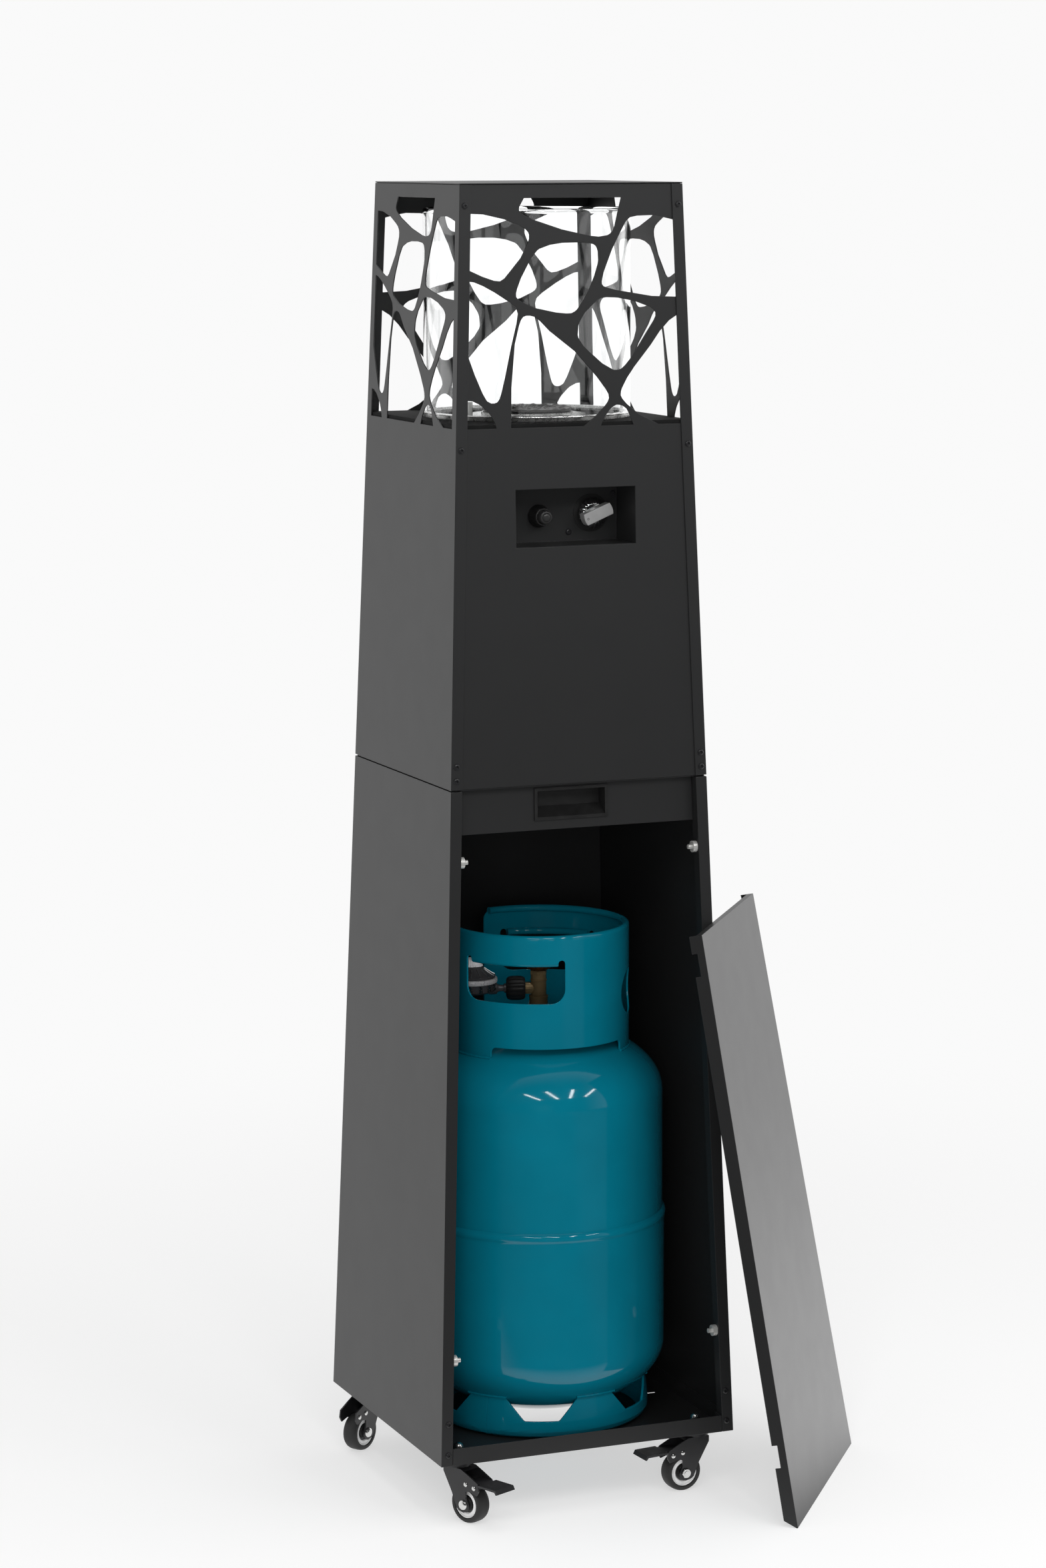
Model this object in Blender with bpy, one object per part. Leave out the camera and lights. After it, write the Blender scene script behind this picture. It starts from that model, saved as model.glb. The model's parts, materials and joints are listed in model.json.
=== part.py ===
"""Pyramid patio heater: a tapering steel tower on castors, with a glass flame tube, a gas bottle and a door.

Lengths are in metres, +Z is up and -Y is the front.
Heights in the tower are measured from the cabinet's bottom. The door is off and leans on the tower.
"""
import bpy
import bmesh
from math import acos, asin, atan2, cos, hypot, pi, radians, sin
from mathutils import Vector

# Moves the tower so that the whole, with its leaning door, is centred on the origin
stand_shift = (-0.1097, 0.0823)

# Tower
base_half = 0.200
top_half = 0.147
tower_height = 1.581
seam_share = 0.534472
seam_height = tower_height * seam_share
seam_gap = 0.002
castor_height = 0.081
sheet = 0.0015
seat_gap = 0.0003
flange_width = 0.015
lip_depth = 0.0165
cutter_reach = 0.030

# Cabinet floor, rail, shelf and studs
apron_height = 0.0216
fold_round = 0.0012
vent_radius = 0.080
tray_slot_inset = 0.032
tray_slot_y = -0.012
tray_slot_length = 0.012
tray_slot_width = 0.005
rail_height = 0.057
rail_bottom = seam_height - rail_height
rail_depth = 0.0128
rail_fold = 0.010
shelf_skirt = 0.030
hose_hole_place = (0.080, 0.100)
hose_hole_radius = 0.020
stud_drop = 0.090
stud_low_height = 0.1314
stud_heights = (seam_height - stud_drop, stud_low_height)
stud_depth = 0.0085
stud_collar_radius = 0.0072
stud_collar_length = 0.0055
stud_tip_radius = 0.0030
stud_length = 0.0108

# Pull cup in the rail
cup_x = -0.0079
cup_drop = 0.0245
cup_centre = (cup_x, seam_height - cup_drop)
cup_half_width = 0.0493
cup_half_height = 0.0203
cup_lip = 0.004
cup_raise = 0.0017
cup_depth = 0.018
cup_wall = 0.0015
cup_slope_rise = 0.011

# Burner deck and web window of the flame housing
deck_drop = 0.291
deck_height = tower_height - deck_drop
window_foot = 0.0046
window_head = 0.0183
window_bottom = deck_height - window_foot
window_top = tower_height - window_head
window_edge_share = 0.905
corner_share = 0.36
arc_turn = radians(27)
web_cell_shares = {
    "top_flat": (
        (-0.426, 1.000), (0.441, 1.000), (0.404, 0.930), (0.365, 0.850), (0.283, 0.827),
        (0.153, 0.834), (-0.092, 0.863), (-0.346, 0.907), (-0.486, 0.944),
    ),
    "upper_left": (
        (-0.905, 0.934), (-0.786, 0.931), (-0.600, 0.909), (-0.399, 0.866), (-0.371, 0.827),
        (-0.457, 0.740), (-0.539, 0.688), (-0.628, 0.633), (-0.788, 0.662), (-0.905, 0.690),
    ),
    "middle": (
        (-0.343, 0.759), (-0.260, 0.791), (-0.092, 0.804), (0.061, 0.805), (0.206, 0.798),
        (0.233, 0.749), (0.213, 0.687), (0.143, 0.604), (0.060, 0.526), (-0.008, 0.493),
        (-0.150, 0.501), (-0.338, 0.523), (-0.505, 0.563), (-0.477, 0.629), (-0.410, 0.695),
    ),
    "lower_left": (
        (-0.905, 0.641), (-0.832, 0.636), (-0.679, 0.592), (-0.473, 0.522), (-0.491, 0.456),
        (-0.536, 0.357), (-0.590, 0.217), (-0.638, 0.110), (-0.740, 0.110), (-0.842, 0.233),
        (-0.905, 0.321),
    ),
    "foot_left": (
        (-0.905, 0.124), (-0.836, 0.120), (-0.746, 0.083), (-0.683, 0.040), (-0.660, 0.000),
        (-0.905, 0.000),
    ),
    "lower_middle": (
        (-0.536, 0.000), (-0.534, 0.176), (-0.506, 0.365), (-0.450, 0.489), (-0.333, 0.489),
        (-0.209, 0.421), (0.007, 0.330), (0.192, 0.217), (0.315, 0.126), (0.227, 0.064),
        (0.076, 0.000),
    ),
    "foot_middle": (
        (0.223, 0.000), (0.270, 0.056), (0.359, 0.095), (0.446, 0.077), (0.498, 0.000),
    ),
    "lower_right": (
        (0.389, 0.130), (0.420, 0.180), (0.518, 0.254), (0.669, 0.350), (0.800, 0.444),
        (0.905, 0.479), (0.905, 0.000), (0.714, 0.000), (0.555, 0.044), (0.447, 0.093),
    ),
    "right": (
        (0.027, 0.419), (0.075, 0.485), (0.150, 0.522), (0.241, 0.565), (0.392, 0.561),
        (0.632, 0.534), (0.742, 0.490), (0.627, 0.402), (0.504, 0.303), (0.406, 0.242),
        (0.303, 0.246), (0.148, 0.320), (0.052, 0.369),
    ),
    "upper_right": (
        (0.245, 0.613), (0.273, 0.674), (0.351, 0.773), (0.437, 0.856), (0.508, 0.918),
        (0.716, 0.921), (0.808, 0.913), (0.905, 0.901), (0.905, 0.561), (0.693, 0.566),
        (0.392, 0.594),
    ),
}

# Lid, burner and glass
lid_skirt = 0.012
deck_skirt = 0.020
burner_radius = 0.058
burner_hole_gap = 0.004
burner_hole_radius = burner_radius + burner_hole_gap
burner_lip = 0.016
burner_lip_radius = burner_radius + burner_lip
burner_shoulder = 0.008
burner_top_radius = burner_radius - burner_shoulder
burner_rise = 0.007
burner_drop = 0.035
burner_wall = 0.002
glass_inset = 0.017
glass_outer_radius = top_half - glass_inset
glass_wall = 0.004
glass_drop = 0.032
glass_top = tower_height - glass_drop
gallery_ledge = 0.0085
gallery_rim = 0.0025
gallery_inner_radius = glass_outer_radius - gallery_ledge
gallery_outer_radius = glass_outer_radius + gallery_rim
gallery_base = 0.0012
gallery_rise = 0.0050
pilot_share = 0.3994
pilot_angle = radians(198.82)
pilot_distance = burner_lip_radius + pilot_share * (gallery_inner_radius - burner_lip_radius)
pilot_place = (pilot_distance * cos(pilot_angle), pilot_distance * sin(pilot_angle))
pilot_base_radius = 0.0060
pilot_rod_radius = 0.0030
pilot_base_height = 0.004
pilot_height = 0.020

# Control box and gas tap
box_half_width = 0.0796
box_drop = 0.1154
box_centre_height = deck_height - box_drop
box_half_height = 0.0353
box_back_y = -0.099
box_flange = 0.008
box_clearance = 0.0002
tap_x = 0.0447
tap_drop = 0.0011
tap_height = box_centre_height - tap_drop
tap_half_width = 0.015
tap_half_height = 0.013
tap_depth = 0.030
tap_bore_depth = 0.021
nozzle_radius = 0.006
tap_outlet_length = 0.015
tap_inlet_length = 0.022
spindle_radius = 0.004
spindle_hole_gap = 0.001
spindle_hole_radius = spindle_radius + spindle_hole_gap
spindle_bore_gap = 0.0004
spindle_bore_radius = spindle_radius + spindle_bore_gap
spindle_inside = 0.012
knob_back = 0.006
knob_rim = 0.0015
knob_radius = 0.0192
knob_front_radius = 0.0130
knob_depth = 0.006
knob_front = knob_back + knob_depth
knob_socket_depth = 0.005
knob_socket_gap = 0.0005
spindle_outside = knob_back + knob_socket_depth - knob_socket_gap
grip_half_length = 0.0200
grip_half_width = 0.0075
grip_depth = 0.0142
grip_front = knob_front + grip_depth
grip_tilt = radians(22)
grip_end_angle = radians(22)
grip_end_steps = 4
igniter_x = -0.0258
igniter_drop = 0.0029
igniter_height = box_centre_height - igniter_drop
button_radius = 0.0084
button_gap = 0.0004
igniter_bore_radius = button_radius + button_gap
igniter_bore_end = 0.0018
igniter_wall = 0.002
igniter_boss_radius = igniter_bore_radius + igniter_wall
igniter_boss = 0.018
igniter_base_rim = 0.0034
igniter_base_radius = igniter_boss_radius + igniter_base_rim
igniter_base = 0.003
igniter_barrel_radius = 0.009
igniter_barrel = 0.040
igniter_hole_gap = 0.0004
igniter_hole_radius = igniter_barrel_radius + igniter_hole_gap
button_inner = 0.0105
button_shoulder = 0.0265
button_front = 0.0288
button_front_radius = 0.0050
supply_radius = 0.005
supply_slant = 0.036
supply_reach = 0.0068
supply_top_drop = 0.012
switch_place = (-0.100, 0.050)
switch_half_size = (0.015, 0.010)
switch_height = 0.025

# Gas bottle, heights from the tray floor
bottle_place = (0.0067, -0.0179)
bottle_inset = 0.0383
bottle_radius = base_half - bottle_inset
bottle_step = 0.0024
bottle_upper_radius = bottle_radius - bottle_step
bottle_wall = 0.003
bottle_floor_drop = 0.088
bottle_floor_gap = 0.017
bottle_floor_level = bottle_floor_drop + bottle_floor_gap
bead_proud = 0.0017
bead_radius = bottle_radius + bead_proud
bead_low = 0.2620
bead_height = 0.008
bead_high = bead_low + bead_height
bead_edge = 0.003
shoulder_level = 0.425
shoulder_rise = 0.088
valve_thread_radius = 0.0130
neck_hole_gap = 0.0005
neck_hole_radius = valve_thread_radius + neck_hole_gap
neck_wall = 0.0055
neck_radius = neck_hole_radius + neck_wall
neck_rise = 0.009
neck_top = shoulder_level + shoulder_rise + neck_rise
ring_inset = 0.0254
ring_wall = 0.003
ring_foot_flare = 0.0017
ring_inner_radius = bottle_radius - ring_inset
ring_outer_radius = ring_inner_radius + ring_wall
ring_foot_radius = ring_outer_radius + ring_foot_flare
ring_foot_height = 0.0045
notch_count = 6
notch_first_angle = radians(-111)
notch_low_half_angle = radians(10)
notch_high_half_angle = radians(18)
notch_floor = 0.0238
collar_inner_radius = 0.1135
collar_wall = 0.0025
collar_outer_radius = collar_inner_radius + collar_wall
collar_roll_proud = 0.0018
collar_roll_radius = collar_outer_radius + collar_roll_proud
collar_roll = 0.006
collar_start = radians(172)
collar_end = radians(466)
collar_steps = 33
collar_slit_rise = 0.078
collar_slit_top = shoulder_level + collar_slit_rise
collar_hole_rise = 0.0584
collar_hole_low = collar_slit_top + collar_hole_rise
collar_hole_height = 0.0588
collar_hole_high = collar_hole_low + collar_hole_height
collar_hook = 0.006
collar_hook_high = collar_hole_high + collar_hook
collar_hook_width = 0.0075
collar_band = 0.0266
collar_top = collar_hole_high + collar_band
collar_corner = 0.020
collar_hole_spans = ((196.5, 264), (322, 368), (390.5, 452))
collar_slit_spans = ((184, 248), (262, 330), (344, 412), (426, 456))
valve_thread_length = 0.022
valve_hex_radius = 0.0155
valve_hex_height = 0.008
valve_foot_radius = 0.0118
valve_body_radius = 0.0100
valve_stem_radius = 0.0045
outlet_angle = radians(160)
outlet_rise = 0.0345
outlet_height = neck_top + outlet_rise
outlet_radius = 0.0075
outlet_end = 0.0275
valve_body_below = 0.0105
valve_body_above = 0.023
valve_foot_top = outlet_height - valve_body_below
valve_body_top = outlet_height + valve_body_above
valve_stem_length = 0.0125
valve_stem_top = valve_body_top + valve_stem_length
wheel_grip_radius = 0.0155
wheel_grip_gap = 0.002
wheel_grip_height = 0.009
wheel_grip_bottom = valve_body_top + wheel_grip_gap
wheel_grip_top = wheel_grip_bottom + wheel_grip_height
wheel_grip_edge = 0.002
nut_radius = 0.0126
nut_overlap = 0.0102
nut_near = outlet_end - nut_overlap
nozzle_gap = 0.0005
nut_step = outlet_end + nozzle_gap
nut_nose = 0.0136
nut_far = outlet_end + nut_nose
nut_edge = 0.0020
nut_round = 0.0045
regulator_reach = 0.0445
regulator_centre = outlet_end + regulator_reach
regulator_nozzle_radius = 0.006
regulator_barb_radius = 0.005
regulator_barb_length = 0.038
regulator_barb_end = regulator_centre + regulator_barb_length
regulator_radius = 0.0272
regulator_below = 0.011
regulator_height = 0.0455
regulator_bottom = outlet_height - regulator_below
regulator_profile_shares = (
    (0.70, 0.00), (0.88, 0.20), (0.90, 0.35), (1.00, 0.38), (1.00, 0.46), (0.86, 0.50), (0.79, 0.70),
    (0.44, 0.90), (0.37, 1.00),
)

# Door, leaning against the front right edge
door_inset = 0.0205
door_bottom_half = base_half - door_inset
door_narrowing = 0.0275
door_top_half = door_bottom_half - door_narrowing
door_drop = 0.092
door_height = seam_height - door_drop
door_depth = 0.0166
door_top_fold = 0.0085
door_foot_cut = 0.012
door_rest_gap = 0.00030
door_turn = radians(52.73)
door_foot_out = 0.1200
door_foot_front = 0.0209
door_foot_centre = (base_half + door_foot_out, -base_half - door_foot_front)
hook_width = 0.0078
hook_depth = 0.0085
hook_rise = 0.021
hook_top_drop = 0.051
hook_low_height = 0.0780
hook_mouths = (door_height - hook_top_drop, hook_low_height)

# Castors
castor_inset = 0.037
castor_place = base_half - castor_inset
castor_turns = {"fl": radians(-65), "fr": radians(-175), "bl": radians(-147), "br": radians(-120)}
castor_trail = 0.021
wheel_radius = 0.025
stem_radius = 0.005
stem_rise = 0.0135
stem_hole_gap = 0.0006
stem_hole_radius = stem_radius + stem_hole_gap
head_radius = 0.020
head_rise = 0.0055
race_radius = 0.017
race_rise = 0.0046
crown_rise = 0.0023
king_hole_radius = stem_radius + seat_gap
king_head_radius = 0.007
king_head_rise = 0.0021
fork_wall = 0.0022
fork_wall_bottom = 0.0425
axle_radius = 0.004
axle_head_radius = 0.0065
axle_head = 0.0034
hub_wall = 0.0045
hub_radius = axle_radius + hub_wall
tyre_depth = 0.0073
rim_radius = wheel_radius - tyre_depth
rim_half_width = 0.0090
hub_recess = 0.0005
hub_half_width = rim_half_width - hub_recess
web_recess = 0.003
web_half_width = rim_half_width - web_recess
web_share = 0.4348
web_radius = hub_radius + web_share * (rim_radius - hub_radius)
tyre_proud = 0.0013
tyre_half_width = rim_half_width + tyre_proud
tyre_shoulder = 0.0041
tyre_crown_half_width = tyre_half_width - tyre_shoulder
tyre_side_drop = 0.0025
tyre_side_radius = wheel_radius - tyre_side_drop
cheek_gap = 0.0015
cheek_inner = tyre_half_width + cheek_gap
cheek_thickness = 0.002
cheek_outer = cheek_inner + cheek_thickness
pedal_pin_angle = radians(53.91)
pedal_pin_gap = 0.00606
pedal_length = 0.0512
pedal_side_gap = 0.0006
pedal_half_width = cheek_inner - pedal_side_gap
pad_place = 0.0101
pad_half_width = 0.0165

# Side views of fork and pedal, as shares of the fork's height and of the pedal's length
fork_shares = (
    (-0.183, 1.000), (-0.183, 0.895), (0.020, 0.542), (0.135, 0.277), (0.192, 0.235), (0.299, 0.213),
    (0.391, 0.242), (0.427, 0.341), (0.358, 0.488), (0.358, 0.610), (0.461, 0.630), (0.623, 0.583),
    (0.677, 0.677), (0.650, 0.812), (0.413, 0.925), (0.243, 1.000),
)
pedal_shares = (
    (-0.182, 0.139), (0.766, 0.119), (0.818, 0.027), (0.787, 0.018), (0.736, 0.080), (0.150, 0.092),
    (0.076, -0.041), (0.000, -0.078), (-0.084, -0.041), (-0.123, 0.086), (-0.182, 0.100),
)
pad_shares = ((0.000, 0.128), (0.572, 0.119), (0.629, 0.020), (0.586, 0.004), (0.535, 0.068), (0.000, 0.080))

# Colour, metallic and roughness of each finish
finishes = {
    "powder": ((0.045, 0.046, 0.048), 0.0, 0.55),
    "teal": ((0.002, 0.155, 0.215), 0.0, 0.28),
    "zinc": ((0.62, 0.62, 0.60), 1.0, 0.35),
    "steel": ((0.60, 0.60, 0.60), 1.0, 0.30),
    "chrome": ((0.85, 0.85, 0.86), 1.0, 0.08),
    "satin": ((0.72, 0.72, 0.72), 1.0, 0.40),
    "brass": ((0.62, 0.44, 0.18), 1.0, 0.35),
    "black": ((0.012, 0.012, 0.012), 0.0, 0.45),
    "rubber": ((0.018, 0.018, 0.018), 0.0, 0.75),
    "glass": ((0.90, 0.93, 0.93), 0.0, 0.05),
    "aluminium": ((0.70, 0.71, 0.72), 1.0, 0.45),
}

small_steps = 12
middle_steps = 16
round_steps = 20
wide_steps = 32
smooth_angle = radians(40)


def clear_scene():
    """Remove whatever the scene already holds."""
    for old in list(bpy.data.objects):
        bpy.data.objects.remove(old, do_unlink=True)


def finish_material(name, finish):
    """A material of its own for each piece, from the table of finishes."""
    colour, metallic, roughness = finishes[finish]
    material = bpy.data.materials.new(name)
    material.use_nodes = True
    shader = material.node_tree.nodes["Principled BSDF"]
    shader.inputs["Base Color"].default_value = (*colour, 1.0)
    shader.inputs["Metallic"].default_value = metallic
    shader.inputs["Roughness"].default_value = roughness
    if finish == "glass":
        shader.inputs["Transmission Weight"].default_value = 1.0
    return material


def skin(name, outlines, finish, place=(0, 0, 0), turn=0, closed=False):
    """A solid skinned over matching outlines, capped at both ends unless it closes on itself."""
    form = bmesh.new()
    rings = [[form.verts.new(point) for point in outline] for outline in outlines]
    pairs = list(zip(rings, rings[1:]))
    if closed:
        pairs.append((rings[-1], rings[0]))
    for near, far in pairs:
        for index, corner in enumerate(near):
            following = (index + 1) % len(near)
            form.faces.new((corner, near[following], far[following], far[index]))
    if not closed:
        form.faces.new(rings[0])
        form.faces.new(rings[-1])
    bmesh.ops.recalc_face_normals(form, faces=form.faces)
    body = stand_up(name, form, place)
    body.rotation_euler = (0, 0, turn)
    if finish:
        body.data.materials.append(finish_material(name, finish))
    return body


def stand_up(name, form, place):
    """Turn a form into an object that stands with the tower."""
    mesh = bpy.data.meshes.new(name)
    form.to_mesh(mesh)
    form.free()
    mesh.shade_smooth()
    mesh.set_sharp_from_angle(angle=smooth_angle)
    body = bpy.data.objects.new(name, mesh)
    bpy.context.scene.collection.objects.link(body)
    body.location = place
    body.parent = bpy.data.objects["stand"]
    return body


def ring_points(radius, along, axis, steps):
    """A circle about one of the object's own axes."""
    points = []
    for step in range(steps):
        angle = 2 * pi * step / steps
        across = radius * cos(angle)
        up = radius * sin(angle)
        if axis == "x":
            points.append((along, across, up))
        elif axis == "y":
            points.append((up, along, across))
        else:
            points.append((across, up, along))
    return points


def turned(name, profile, finish, axis="z", steps=round_steps, **options):
    """A turned solid from a profile of radius and distance along its axis."""
    outlines = [ring_points(radius, along, axis, steps) for radius, along in profile]
    return skin(name, outlines, finish, **options)


def extruded(name, profile, half_width, finish, **options):
    """A side profile in X and Z, drawn out to both sides along Y."""
    outlines = [[(x, side * half_width, z) for x, z in profile] for side in (-1, 1)]
    return skin(name, outlines, finish, **options)


def block(name, low, high, finish, **options):
    """A box between two corners."""
    outlines = [
        [(low[0], low[1], z), (high[0], low[1], z), (high[0], high[1], z), (low[0], high[1], z)]
        for z in (low[2], high[2])
    ]
    return skin(name, outlines, finish, **options)


def combine(body, tool, operation):
    """Cut a hidden tool from a body, or join it on."""
    modifier = body.modifiers.new(tool.name, "BOOLEAN")
    modifier.operation = operation
    modifier.solver = "EXACT"
    modifier.object = tool
    tool.hide_render = True
    tool.display_type = "WIRE"


def cut(body, tool):
    combine(body, tool, "DIFFERENCE")


def join(body, tool):
    combine(body, tool, "UNION")


def gather(name, tools, place=(0, 0, 0)):
    """One cutter made of several closed forms that stand apart."""
    form = bmesh.new()
    for tool in tools:
        tool.data.transform(tool.matrix_basis)
        form.from_mesh(tool.data)
        bpy.data.objects.remove(tool, do_unlink=True)
    return stand_up(name, form, place)


def half_at(height):
    """Half the tower's width at a height above the cabinet's bottom."""
    return base_half + (top_half - base_half) * height / tower_height


def on_tower(x, inward, height):
    """A point at a distance behind the tower's front plane."""
    return (x, inward - half_at(height), height)


tower_place = (0, 0, castor_height)


# Side panels and flat sheets of the tower


def side_section(side, height, lip):
    """Section of a folded side panel, with or without the inward lip on its front flange."""
    half = half_at(height)
    edge = half - flange_width
    inner = half - sheet
    corners = [(edge, -half), (half, -half), (half, half), (edge, half), (edge, inner), (inner, inner)]
    corners.append((inner, -inner))
    if lip:
        corners += [(edge + sheet, -inner), (edge + sheet, lip - half), (edge, lip - half)]
    else:
        corners.append((edge, -inner))
    return [(side * x, y, height) for x, y in corners]


def side_panel(name, side, low, high, lip):
    outlines = [side_section(side, height, lip) for height in (low, high)]
    return skin(name, outlines, "powder", place=tower_place)


def flat_panel(name, facing, low, high):
    """A flat sheet seated behind the side panels' flanges."""
    outlines = []
    for height in (low, high):
        half = half_at(height)
        across = half - sheet - seat_gap
        outer = half - sheet - seat_gap
        inner = outer - sheet
        corners = ((-across, outer), (across, outer), (across, inner), (-across, inner))
        outlines.append([(x, facing * y, height) for x, y in corners])
    return skin(name, outlines, "powder", place=tower_place)


# Web of cut-outs, the same on all four sides of the flame housing


def cell_outline(shares):
    """A cell's corners as width and height, with its free corners drawn as short curves."""
    corners = []
    for across, up in shares:
        height = window_bottom + up * (window_top - window_bottom)
        on_frame = abs(across) == window_edge_share or up in (0, 1)
        corners.append((Vector((across * half_at(height), height)), on_frame))
    outline = []
    for index, (corner, sharp) in enumerate(corners):
        last = corners[index - 1][0]
        following = corners[(index + 1) % len(corners)][0]
        steps = round((corner - last).angle(following - corner) / arc_turn)
        if sharp or steps == 0:
            outline.append(corner)
            continue
        before = corner.lerp(last, corner_share)
        after = corner.lerp(following, corner_share)
        for step in range(steps + 1):
            part = step / steps
            outline.append(before.lerp(corner, part).lerp(corner.lerp(after, part), part))
    return outline


def web_cutter(name, turn):
    """Prisms for all cells of one side, drawn for the front and turned about the tower's axis."""
    cells = []
    for cell, shares in web_cell_shares.items():
        outline = cell_outline(shares)
        sides = [
            [on_tower(point.x, inward, point.y) for point in outline]
            for inward in (-cutter_reach, sheet * 3)
        ]
        cells.append(skin(f"{name}_{cell}", sides, None, turn=turn))
    return gather(name, cells, place=tower_place)


def tower_pan(name, outline_at, floor, rim, finish="powder"):
    """A pan whose walls follow the tower's taper, from its floor's outer face to its rim."""
    step = sheet if rim > floor else -sheet
    inside = outline_at(floor + step, sheet + fold_round)
    outlines = [outline_at(floor, 0), outline_at(rim, 0), outline_at(rim, sheet), inside]
    return skin(name, outlines, finish, place=tower_place)


def inner_square(height, inset):
    """Outline that clears the flat panels in front and behind and the side sheets."""
    across = half_at(height) - sheet - seat_gap - inset
    along = across - sheet - seat_gap
    corners = ((-across, -along), (across, -along), (across, along), (-across, along))
    return [(x, y, height) for x, y in corners]


# Lower cabinet


def tray_outline(height, inset):
    """The tray passes between the front flanges, then widens behind their lips."""
    half = half_at(height)
    front = inset - half
    narrow = half - flange_width - seat_gap - inset
    notch = lip_depth + seat_gap + inset - half
    wide = half - sheet - seat_gap - inset
    back = wide - sheet - seat_gap
    corners = (
        (-narrow, front), (narrow, front), (narrow, notch), (wide, notch),
        (wide, back), (-wide, back), (-wide, notch), (-narrow, notch),
    )
    return [(x, y, height) for x, y in corners]


def base_tray():
    tray = tower_pan("base_tray", tray_outline, 0, apron_height)
    low = -cutter_reach
    high = cutter_reach
    hole = ((vent_radius, low), (vent_radius, high))
    stem = ((stem_hole_radius, low), (stem_hole_radius, high))
    tools = [turned("vent", hole, None, steps=wide_steps, place=(*bottle_place, 0))]
    for x in (-castor_place, castor_place):
        for y in (-castor_place, castor_place):
            tools.append(turned(f"stem_{len(tools)}", stem, None, steps=small_steps, place=(x, y, 0)))
    slot_x = base_half - tray_slot_inset
    tools.append(block(
        "slot",
        (slot_x - tray_slot_length / 2, tray_slot_y - tray_slot_width / 2, low),
        (slot_x + tray_slot_length / 2, tray_slot_y + tray_slot_width / 2, high),
        None,
    ))
    cut(tray, gather("tray_holes", tools, place=tower_place))


def lower_cabinet():
    top = seam_height - seam_gap / 2
    for side, word in ((-1, "left"), (1, "right")):
        side_panel(f"lower_{word}_panel", side, 0, top, lip_depth)
    flat_panel("lower_back_panel", 1, 0, top)
    base_tray()
    cross_rail(top)
    recess_handle()
    divider_shelf()
    for level, height in zip(("top", "low"), stud_heights):
        for side, word in ((-1, "left"), (1, "right")):
            hook_stud(f"stud_{level}_{word}", side, height)


def cross_rail(top):
    """Rail between the lips, with a fold along its bottom."""
    section = (
        (0, top), (0, rail_bottom), (rail_fold, rail_bottom), (rail_fold, rail_bottom + sheet),
        (sheet, rail_bottom + sheet), (sheet, top),
    )
    outlines = []
    for side in (-1, 1):
        outlines.append([
            on_tower(side * (half_at(height) - flange_width - seat_gap), rail_depth + inward, height)
            for inward, height in section
        ])
    rail = skin("cross_rail", outlines, "powder", place=tower_place)
    centre, height = cup_centre
    across = cup_half_width - cup_lip + cup_wall + seat_gap
    up = cup_half_height - cup_lip + cup_wall + seat_gap
    cut(rail, block(
        "cup_hole",
        (centre - across, -base_half, height - up),
        (centre + across, 0, height + up),
        None,
        place=tower_place,
    ))


def cup_rectangle(shrink, inward, floor_rise=0):
    """Rectangle of the pull cup at a distance behind the tower's front plane."""
    centre, middle = cup_centre
    across = cup_half_width - shrink
    low = middle - cup_half_height + shrink + floor_rise
    high = middle + cup_half_height - shrink
    corners = ((-across, low), (across, low), (across, high), (-across, high))
    return [on_tower(centre + x, inward, height) for x, height in corners]


def recess_handle():
    """Moulded pull cup with a raised rim and a sloping floor."""
    seat = rail_depth - seat_gap
    back = rail_depth + cup_depth
    outlines = [
        cup_rectangle(cup_lip - cup_wall, back + cup_wall),
        cup_rectangle(cup_lip - cup_wall, seat),
        cup_rectangle(0, seat),
        cup_rectangle(0, seat - cup_raise),
        cup_rectangle(cup_lip, seat - cup_raise),
        cup_rectangle(cup_lip, back, cup_slope_rise),
    ]
    skin("recess_handle", outlines, "black", place=tower_place)


def divider_shelf():
    """Shelf between cabinet and flame housing, with a skirt that the upper panels screw to."""
    floor = seam_height - sheet / 2
    shelf = tower_pan("divider_shelf", inner_square, floor, floor + shelf_skirt)
    hole = ((hose_hole_radius, seam_height - cutter_reach), (hose_hole_radius, seam_height + cutter_reach))
    hole_x, hole_y = hose_hole_place
    cut(shelf, turned("hose_hole", hole, None, place=(hole_x, hole_y, castor_height)))


def hook_stud(name, side, height):
    """Stud on a lip's inner face, which the door's hooks hang from."""
    start = half_at(height) - flange_width - seat_gap
    profile = (
        (stud_collar_radius, side * start),
        (stud_collar_radius, side * (start - stud_collar_length)),
        (stud_tip_radius, side * (start - stud_collar_length)),
        (stud_tip_radius, side * (start - stud_length)),
    )
    turned(name, profile, "zinc", axis="x", place=(0, stud_depth - half_at(height), castor_height + height))


# Flame housing


def flame_housing():
    low = seam_height + seam_gap / 2
    high = tower_height - sheet - seat_gap
    for side, word, turn in ((-1, "left", -pi / 2), (1, "right", pi / 2)):
        panel = side_panel(f"upper_{word}_panel", side, low, high, 0)
        cut(panel, web_cutter(f"web_{word}", turn))
    front = flat_panel("upper_front_panel", -1, low, high)
    cut(front, web_cutter("web_front", 0))
    cut(front, block(
        "control_opening",
        (-box_half_width, -base_half, box_centre_height - box_half_height),
        (box_half_width, box_back_y, box_centre_height + box_half_height),
        None,
        place=tower_place,
    ))
    back = flat_panel("upper_back_panel", 1, low, high)
    cut(back, web_cutter("web_back", pi))
    top_cover()
    burner_deck()
    burner()
    glass()


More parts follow.
